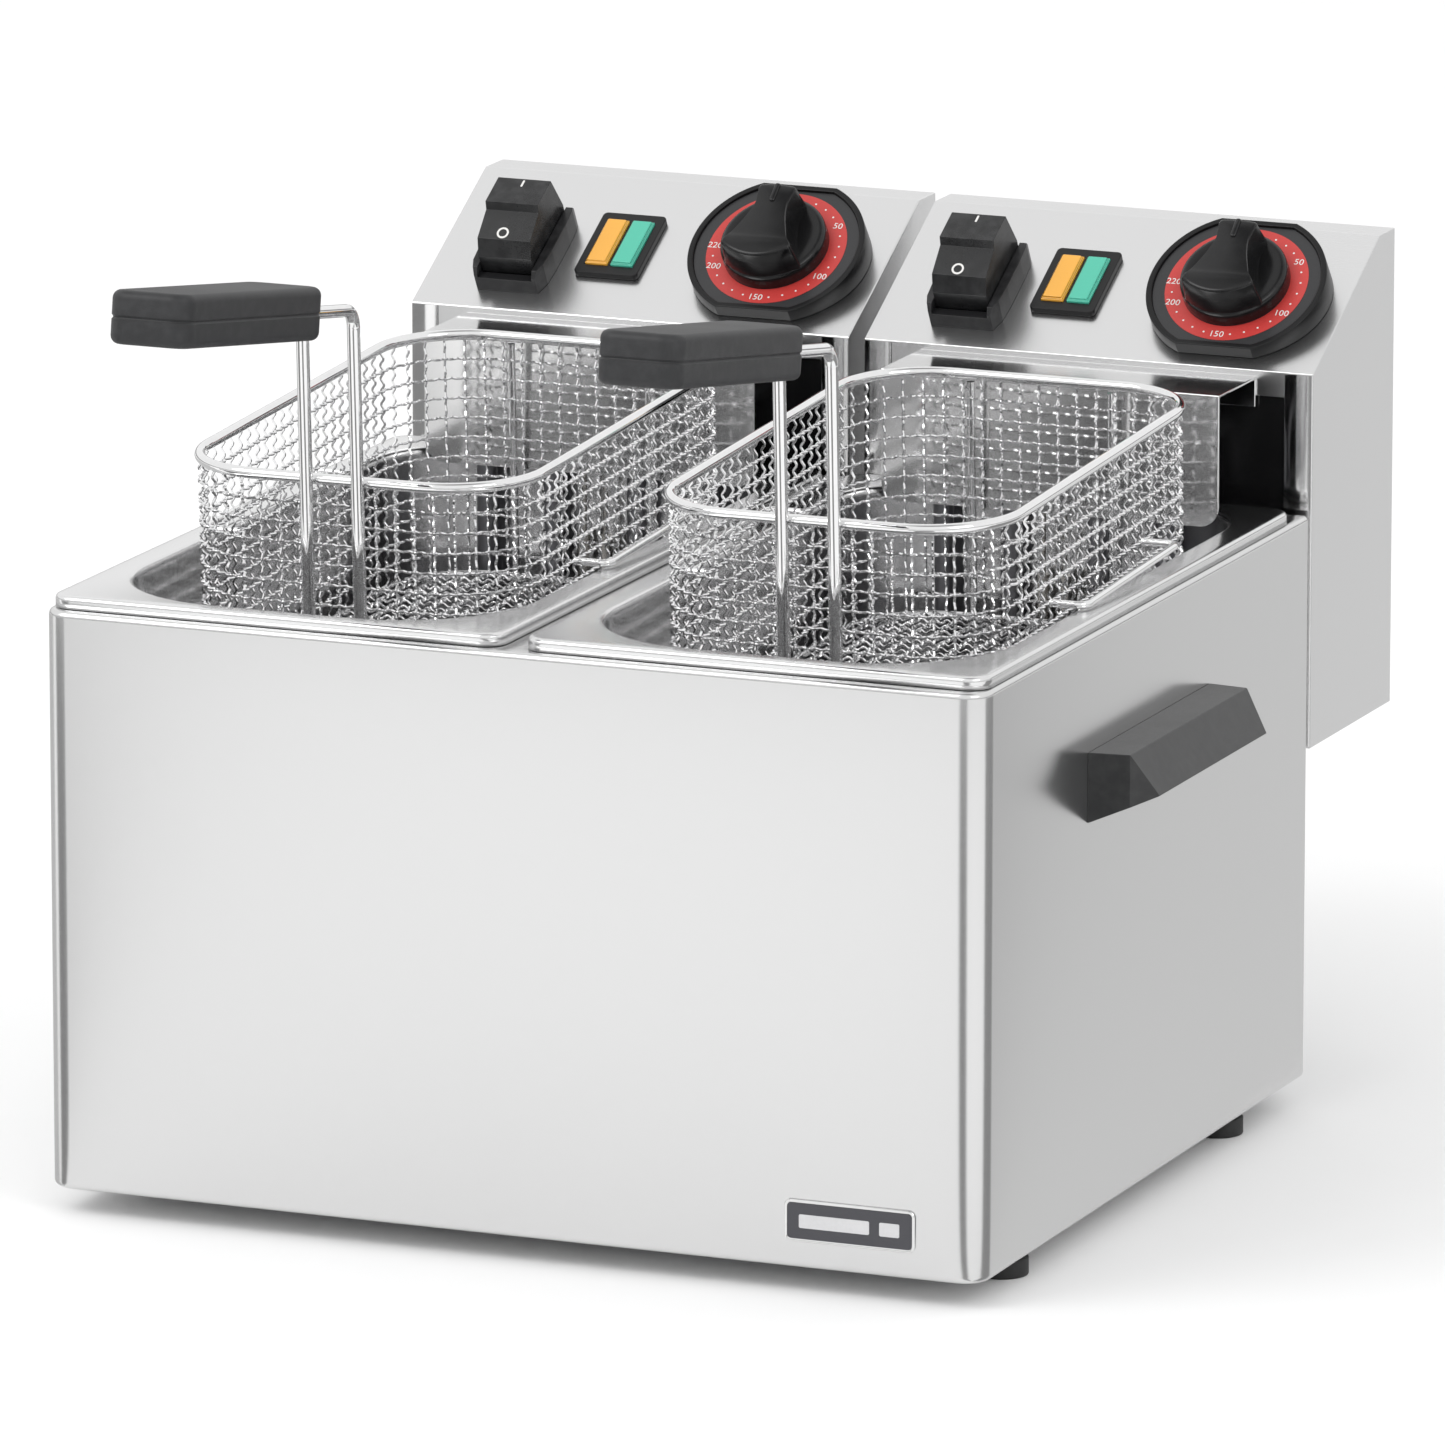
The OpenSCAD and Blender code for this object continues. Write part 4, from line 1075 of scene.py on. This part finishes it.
@dataclass
class Knob:
    """Control knob: round skirt under a bell-shaped finger grip with a raised pointer."""

    side: Side
    high: float = 18.5
    lift: float = 0.5
    crown: tuple[Point2, ...] = ((0, 17.6), (4.5, 17.4), (7.6, 16.4), (7.1, 11.0), (6.8, 7.7), (7.9, 2.0),
                                 (9.7, -3.3), (12.0, -9.0), (14.6, -13.2), (12.7, -15.6), (9.5, -17.5),
                                 (5.0, -19.2), (0, -19.8))
    base: tuple[Point2, ...] = ((0, 20.2), (6.0, 19.4), (9.7, 17.0), (9.2, 11.5), (9.2, 6.9), (10.5, 1.0),
                                (12.3, -4.6), (14.5, -10.0), (16.3, -13.3), (13.9, -15.9),
                                (10.4, -18.2), (5.4, -20.2), (0, -20.9))
    skirt: tuple[Point2, ...] = ((20.4, 0.0), (21.4, 0.4), (21.5, 1.2), (21.4, 5.2), (21.0, 6.3), (20.2, 7.0),
                                 (19.0, 7.2), (15.0, 6.6), (9.0, 6.2), (3.0, 6.2))
    wall: tuple[Point2, ...] = ((0.0, 5.0), (0.35, 8.5), (0.75, 13.0))
    crown_edge: tuple[Point2, ...] = ((1.0, 1.2), (0.985, 0.5), (0.955, 0.12), (0.91, 0.0))
    pointer_half: float = 1.15
    pointer_ends: Point2 = (8.2, 17.4)
    pointer_r: float = 1.0
    pointer_steps: tuple[Point2, ...] = ((0.0, -0.4), (0.0, 0.35), (0.25, 0.65), (0.6, 0.8))

    def skirt_shape(self) -> Shape:
        """Turned skirt with a rounded shoulder and a dished top."""
        return Shape().loft([Outline.circle(r, z, 72) for r, z in self.skirt])

    @staticmethod
    def smooth_loop(half: Sequence[Point2], steps: int = 5) -> list[Point2]:
        """Mirrors half an outline and rounds it off with a spline.

        Args:
            half: Points down the right side, both ends on the middle line.
            steps: Points made for each span.

        Returns:
            The closed outline.
        """
        loop = list(half) + [(-x, y) for x, y in reversed(half[1:-1])]
        count, fine = len(loop), []
        for k in range(count):
            p0, p1, p2, p3 = (loop[(k + d) % count] for d in (-1, 0, 1, 2))
            for i in range(steps):
                t = i / steps
                fine.append(tuple(0.5 * (2 * b + (c - a) * t + (2 * a - 5 * b + 4 * c - d) * t * t
                                         + (3 * b - a - 3 * c + d) * t ** 3)
                                  for a, b, c, d in zip(p0, p1, p2, p3)))
        return fine

    def wing_shape(self) -> Shape:
        """Finger grip: drafted sides from the skirt up to a crown with a rounded edge."""
        low, top = self.smooth_loop(self.base), self.smooth_loop(self.crown)
        levels = [(share, 1.0, z) for share, z in self.wall]
        levels += [(1.0, shrink, self.high - drop) for shrink, drop in self.crown_edge]
        rings = []
        for share, shrink, z in levels:
            rings.append([Vector(((a[0] + (b[0] - a[0]) * share) * shrink,
                                  (a[1] + (b[1] - a[1]) * share) * shrink, z))
                          for a, b in zip(low, top)])
        return Shape().loft(rings)

    def build(self) -> None:
        """Builds the knob and its raised pointer."""
        tag = self.side.tag
        place = Place.dial(self.side) @ Matrix.Translation((0, 0, self.lift))
        shape = self.skirt_shape().join(self.wing_shape())
        Workshop.piece(f"knob_body_{tag}", shape, place, f"knob_{tag}", Finishes.knob,
                       "plastic_gloss_black", [f"knob_{tag}"])
        (start, end), r = self.pointer_ends, self.pointer_r
        ridge = Shape().loft([Outline.level(Outline.rounded(self.pointer_half - i, start + i, end - i,
                                                            r - i, r - i, 4), self.high + z)
                              for i, z in self.pointer_steps])
        Workshop.piece(f"knob_pointer_{tag}", ridge, place, f"knob_{tag}", Finishes.knob,
                       "plastic_gloss_black")


@dataclass
class Dial:
    """Dial with its dark face, red scale ring, numbers and dots."""

    side: Side
    face_r: float = 33.4
    flat: float = 30.0
    ring_out: float = 28.6
    ring_in: float = 21.4
    number_r: float = 25.7
    first_angle: float = 58.0
    per_ten: float = 12.35
    text_size: float = 4.1
    text_t: float = 0.04
    face_z: Point2 = (0.02, 0.2)
    ring_z: Point2 = (0.15, 0.34)
    marks_z: float = 0.38
    dot_r: float = 0.42
    numbered: tuple[int, ...] = (50, 100, 150, 200, 220)

    def turned(self, angle: float, r: float) -> Point2:
        """A point at a clockwise angle from the top, in degrees."""
        a = math.radians(angle)
        return r * math.sin(a), r * math.cos(a)

    def angle_of(self, degrees: float) -> float:
        """Where a temperature stands on the scale."""
        return self.first_angle + self.per_ten * (degrees - 50) / 10

    def number(self, text: str, x: float, y: float) -> Shape:
        """Flat figures of one number.

        Args:
            text: The number.
            x: Its middle, across.
            y: Its middle, up the dial.

        Returns:
            The figures' shape.
        """
        curve = bpy.data.curves.new("figures", "FONT")
        curve.body, curve.size, curve.extrude = text, self.text_size, self.text_t
        curve.align_x, curve.align_y = "CENTER", "CENTER"
        curve.resolution_u = 3
        holder = bpy.data.objects.new("figures", curve)
        bpy.context.scene.collection.objects.link(holder)
        solid = holder.evaluated_get(bpy.context.evaluated_depsgraph_get())
        mesh = bpy.data.meshes.new_from_object(solid)
        shape = Shape()
        shape.points = [Vector((v.co.x + x, v.co.y + y, v.co.z)) for v in mesh.vertices]
        shape.faces = [tuple(p.vertices) for p in mesh.polygons]
        bpy.data.objects.remove(holder)
        bpy.data.meshes.remove(mesh)
        return shape

    def build(self) -> None:
        """Builds the printed face and dresses the dial's plate."""
        tag = self.side.tag
        body, place = f"head_{tag}", Place.dial(self.side)
        clip = [(max(-self.face_r, min(self.face_r, x)), max(-self.flat, min(self.flat, y)))
                for x, y in Outline.arc(0, 0, self.face_r, 0, 358, 178)]
        face = Shape().loft([Outline.level(clip, z) for z in self.face_z])
        Workshop.piece(f"dial_face_{tag}", face, place, body, Finishes.dial_face, "plastic_black")
        ring = Shape().ring(self.ring_out, self.ring_in, *self.ring_z, 96)
        Workshop.piece(f"dial_scale_{tag}", ring, place, body, Finishes.scale_red, "plastic_black")
        marks = Shape()
        for value in self.numbered:
            x, y = self.turned(self.angle_of(value), self.number_r)
            marks.join(self.number(str(value), x, y))
        for value in range(20, 221, 10):
            if value in self.numbered:
                continue
            x, y = self.turned(self.angle_of(value), self.number_r)
            plan = Outline.arc(x, y, self.dot_r, 0, 330, 11)
            marks.loft([Outline.level(plan, z) for z in (-self.text_t, self.text_t)])
        marks.moved(Matrix.Translation((0, 0, self.marks_z)))
        Workshop.piece(f"dial_figures_{tag}", marks, place, body, Finishes.print_white, "plastic_black",
                       smooth=False)
        Workshop.dress(f"dial_plate_{tag}", Finishes.dial, Bevel(0.5, 3, 40.0))


@dataclass
class RockerSwitch:
    """Two-position switch: guard frame, tall stepped rocker and its two marks."""

    side: Side
    x: float = -56.0
    s: float = 34.0
    ring: Point2 = (1.7, 2.5)
    ring_at: tuple[float, float, float] = (-1.2, -13.1, 21.5)
    ring_tilt: float = 19.0
    bar_at: tuple[float, float, float] = (0.3, 9.6, 28.2)
    bar_half: Point2 = (0.42, 1.9)
    bar_corner: float = 0.3
    mark_z: Point2 = (-0.1, 0.12)

    def build(self) -> None:
        """Builds the marks and dresses the switch."""
        tag = self.side.tag
        place = Place.panel(self.side, self.x, self.s)
        body = f"rocker_{tag}"
        ring = Shape().ring(self.ring[1], self.ring[0], *self.mark_z, 40)
        tilt = Matrix.Rotation(math.radians(self.ring_tilt), 4, "X")
        ring.moved(Matrix.Translation(self.ring_at) @ tilt)
        half_w, half_l = self.bar_half
        plan = Outline.rounded(half_w, -half_l, half_l, self.bar_corner, self.bar_corner, 3)
        bar = Shape().loft([Outline.level(plan, z) for z in self.mark_z])
        bar.moved(Matrix.Translation(self.bar_at))
        Workshop.piece(f"rocker_marks_{tag}", ring.join(bar), place, body, Finishes.print_white,
                       "plastic_black")
        Workshop.dress(f"rocker_{tag}", Finishes.rocker, Bevel(0.9, 3, 25.0))
        Workshop.dress(f"rocker_bezel_{tag}", Finishes.switch, Bevel(0.35, 2, 25.0))


@dataclass
class Head:
    """Lift-off control head: cover, back, bracket, heater, controls and fittings."""

    side: Side
    liner_x: Point2 = (81.8, 93.0)
    liner_z: Point2 = (141.0, 287.6)
    liner_t: float = 0.25
    liner_edge: Point2 = (0.2, 0.1)

    def build_liners(self) -> None:
        """Builds the polished strips over the head's narrow front flanges."""
        front = Place.head_y
        (x0, x1), (z0, z1) = self.liner_x, self.liner_z
        shape = Shape()
        for sign in (-1, 1):
            rings = []
            face = front - self.liner_t
            for inset, y in ((0.0, front), (0.0, face), (self.liner_edge[0], face - self.liner_edge[1])):
                corners = ((x0 + inset, z0), (x1 - inset, z0), (x1 - inset, z1), (x0 + inset, z1))
                rings.append([Vector((sign * x, y, z)) for x, z in corners])
            shape.loft(rings)
        Workshop.piece(f"flange_liners_{self.side.tag}", shape, Place.unit(self.side),
                       f"head_{self.side.tag}", Finishes.polished, "steel_polished")

    def build(self) -> None:
        """Builds and dresses the whole head."""
        tag = self.side.tag
        plain: list[tuple[str, Finish, Bevel | None]] = [
            ("head_cover", Finishes.panel, Bevel(0.7, 3, 20.0)),
            ("head_back", Finishes.galvanised, Bevel(0.2)),
            ("head_bracket", Finishes.polished, Bevel(0.4, 2, 30.0)),
            ("heater_plate", Finishes.black_plate, Bevel(0.3)),
            ("heater", Finishes.heater, None),
            ("thermostat", Finishes.zinc, None),
            ("limiter", Finishes.bakelite, None),
            ("sensor_bulbs", Finishes.probe, None),
            ("terminal_block", Finishes.cream, None),
            ("lamp_bezel", Finishes.dial, Bevel(0.4, 2, 30.0)),
            ("lamp_amber", Finishes.amber, Bevel(0.5, 3, 20.0)),
            ("lamp_green", Finishes.green, Bevel(0.5, 3, 20.0)),
            ("cable_gland", Finishes.rubber, None),
            ("reset_button", Finishes.red_button, None),
        ]
        for part, finish, bevel in plain:
            Workshop.dress(f"{part}_{tag}", finish, bevel)
        self.build_liners()
        RockerSwitch(self.side).build()
        Dial(self.side).build()
        Knob(self.side).build()


# ---------------------------------------------------------------- studio


@dataclass(frozen=True)
class Flag:
    """A grey floor flag that only reflections see: a fan about a corner of the casing.

    Attributes:
        x: Where the fan starts, across, in metres.
        y: Where it starts, behind the casing's front, in metres.
        start: First direction, in degrees from straight ahead towards +X.
        end: Last direction.
        value: Its brightness.
    """

    x: float
    y: float
    start: float
    end: float
    value: float


@dataclass
class Studio:
    """Pale floor, soft dome, two large lamps, reflection flags and the camera."""

    dome: float = 1.0
    floor_half: float = 30.0
    camera_at: tuple[float, float, float] = (2.0802, -4.8004, 1.39746)
    camera_down: float = 12.822
    camera_turn: float = 22.549
    lens: float = 361.14
    sensor: float = 36.0
    clip: Point2 = (0.1, 200.0)
    aim: tuple[float, float, float] = (0.0, 0.0, 0.2)
    flag_reach: float = 3.0
    flag_z: float = 0.003
    flag_steps: int = 12
    flags: tuple[Flag, ...] = (
        Flag(-0.19, 0.0, -72.0, -30.0, 0.28),
        Flag(-0.19, 0.0, -150.0, -90.0, 0.62),
        Flag(0.19, 0.0, -8.0, 22.0, 0.3),
        Flag(0.19, 0.0, 102.0, 152.0, 0.3),
        Flag(0.19, 0.0, 152.0, 178.0, 0.74),
    )
    band: tuple[float, float, float] = (0.0, 0.13, 0.25)
    band_fade: Point2 = (0.25, 0.6)
    cap: tuple[float, float, float] = (0.93, 0.985, 0.35)

    def build_world(self) -> None:
        """Builds the dome: a dark band over the horizon and a dark spot overhead for reflections."""
        world = bpy.data.worlds.new("studio_dome")
        bpy.context.scene.world = world
        world.use_nodes = True
        world.node_tree.nodes.clear()
        g = Graph(world.node_tree)
        way = g.add("TexCoord").outputs["Generated"]
        up = g.add("SeparateXYZ", {0: way}).outputs["Z"]
        low, high, value = self.band
        middle = (low + high) / 2
        off = g.add("Math", {0: up, 1: middle}, operation="SUBTRACT").outputs[0]
        away = g.add("Math", {0: off}, operation="ABSOLUTE").outputs[0]
        band = g.span(away, value, 1.0, *((high - low) * share for share in self.band_fade))
        start, end, dark = self.cap
        cap = g.span(up, 1.0, dark, start, end)
        level = g.add("Math", {0: band, 1: cap}, operation="MULTIPLY").outputs[0]
        seen = g.add("LightPath").outputs["Is Glossy Ray"]
        plain = g.add("Mix", {0: seen, 2: 1.0, 3: level}, data_type="FLOAT").outputs[0]
        back = g.add("Background", {"Color": (1.0, 1.0, 1.0, 1.0),
                                    "Strength": g.span(plain, 0.0, self.dome)})
        g.add("OutputWorld", {"Surface": back.outputs[0]})

    def build_flags(self) -> None:
        """Lays the reflection flags on the floor."""
        for index, flag in enumerate(self.flags):
            middle = Vector((flag.x, flag.y + Place.front_y, self.flag_z))
            points = [middle]
            for k in range(self.flag_steps + 1):
                a = math.radians(flag.start + (flag.end - flag.start) * k / self.flag_steps)
                points.append(middle + self.flag_reach * Vector((math.sin(a), -math.cos(a), 0)))
            mesh = bpy.data.meshes.new(f"flag_{index}")
            mesh.from_pydata(points, [], [tuple(range(len(points)))])
            paint = bpy.data.materials.new(f"flag_{index}")
            paint.use_nodes = True
            paint.node_tree.nodes.clear()
            g = Graph(paint.node_tree)
            glow = g.add("Emission", {"Strength": flag.value})
            g.add("OutputMaterial", {"Surface": glow.outputs[0]})
            mesh.materials.append(paint)
            board = bpy.data.objects.new(f"flag_{index}", mesh)
            board.visible_camera = board.visible_diffuse = board.visible_shadow = False
            board.visible_transmission = board.visible_volume_scatter = False
            bpy.context.scene.collection.objects.link(board)

    def lamp(self, name: str, at: tuple[float, float, float], size: float, power: float) -> None:
        """Adds a large square lamp that faces the fryer.

        Args:
            name: The lamp's name.
            at: Its place, in metres.
            size: The length of its sides, in metres.
            power: Its power, in watts.
        """
        data = bpy.data.lights.new(name, "AREA")
        data.size, data.energy = size, power
        lamp = bpy.data.objects.new(name, data)
        lamp.location = at
        lamp.rotation_euler = (Vector(self.aim) - Vector(at)).to_track_quat("-Z", "Y").to_euler()
        bpy.context.scene.collection.objects.link(lamp)

    def build_floor(self) -> None:
        """Adds the plain floor."""
        h = self.floor_half
        mesh = bpy.data.meshes.new("floor")
        mesh.from_pydata([(-h, -h, 0), (h, -h, 0), (h, h, 0), (-h, h, 0)], [], [(0, 1, 2, 3)])
        paint = Finish(
            "studio_floor", (0.93, 0.93, 0.93), rough=0.85, rough_spread=0.03, tone_spread=0.01,
            stretch=even(8.0), bump=0.00001, cloud=0.7, specular=0.1)
        mesh.materials.append(paint.material())
        floor = bpy.data.objects.new("studio_floor", mesh)
        bpy.context.scene.collection.objects.link(floor)

    def build_camera(self) -> None:
        """Adds the camera."""
        data = bpy.data.cameras.new("view")
        data.lens, data.sensor_width = self.lens, self.sensor
        data.clip_start, data.clip_end = self.clip
        camera = bpy.data.objects.new("view", data)
        x, y, z = self.camera_at
        camera.location = (x, y + Place.front_y, z)
        camera.rotation_euler = (math.radians(90 - self.camera_down), 0, math.radians(self.camera_turn))
        bpy.context.scene.collection.objects.link(camera)
        bpy.context.scene.camera = camera

    def build(self) -> None:
        """Sets up everything that isn't the fryer."""
        bpy.context.scene.view_settings.view_transform = "Standard"
        self.build_world()
        self.build_floor()
        self.build_flags()
        self.build_camera()
        self.lamp("key_lamp", (-2.2, -2.6, 3.4), 2.4, 60.0)
        self.lamp("fill_lamp", (2.8, -1.8, 2.6), 1.6, 18.0)


def main() -> None:
    """Builds the studio and the fryer."""
    logging.basicConfig(level=logging.INFO, format="%(name)s: %(message)s")
    Studio().build()
    Casing().build()
    for side in Side:
        Pan(side).build()
        Basket(side).build()
        Head(side).build()


if __name__ == "__main__":
    main()
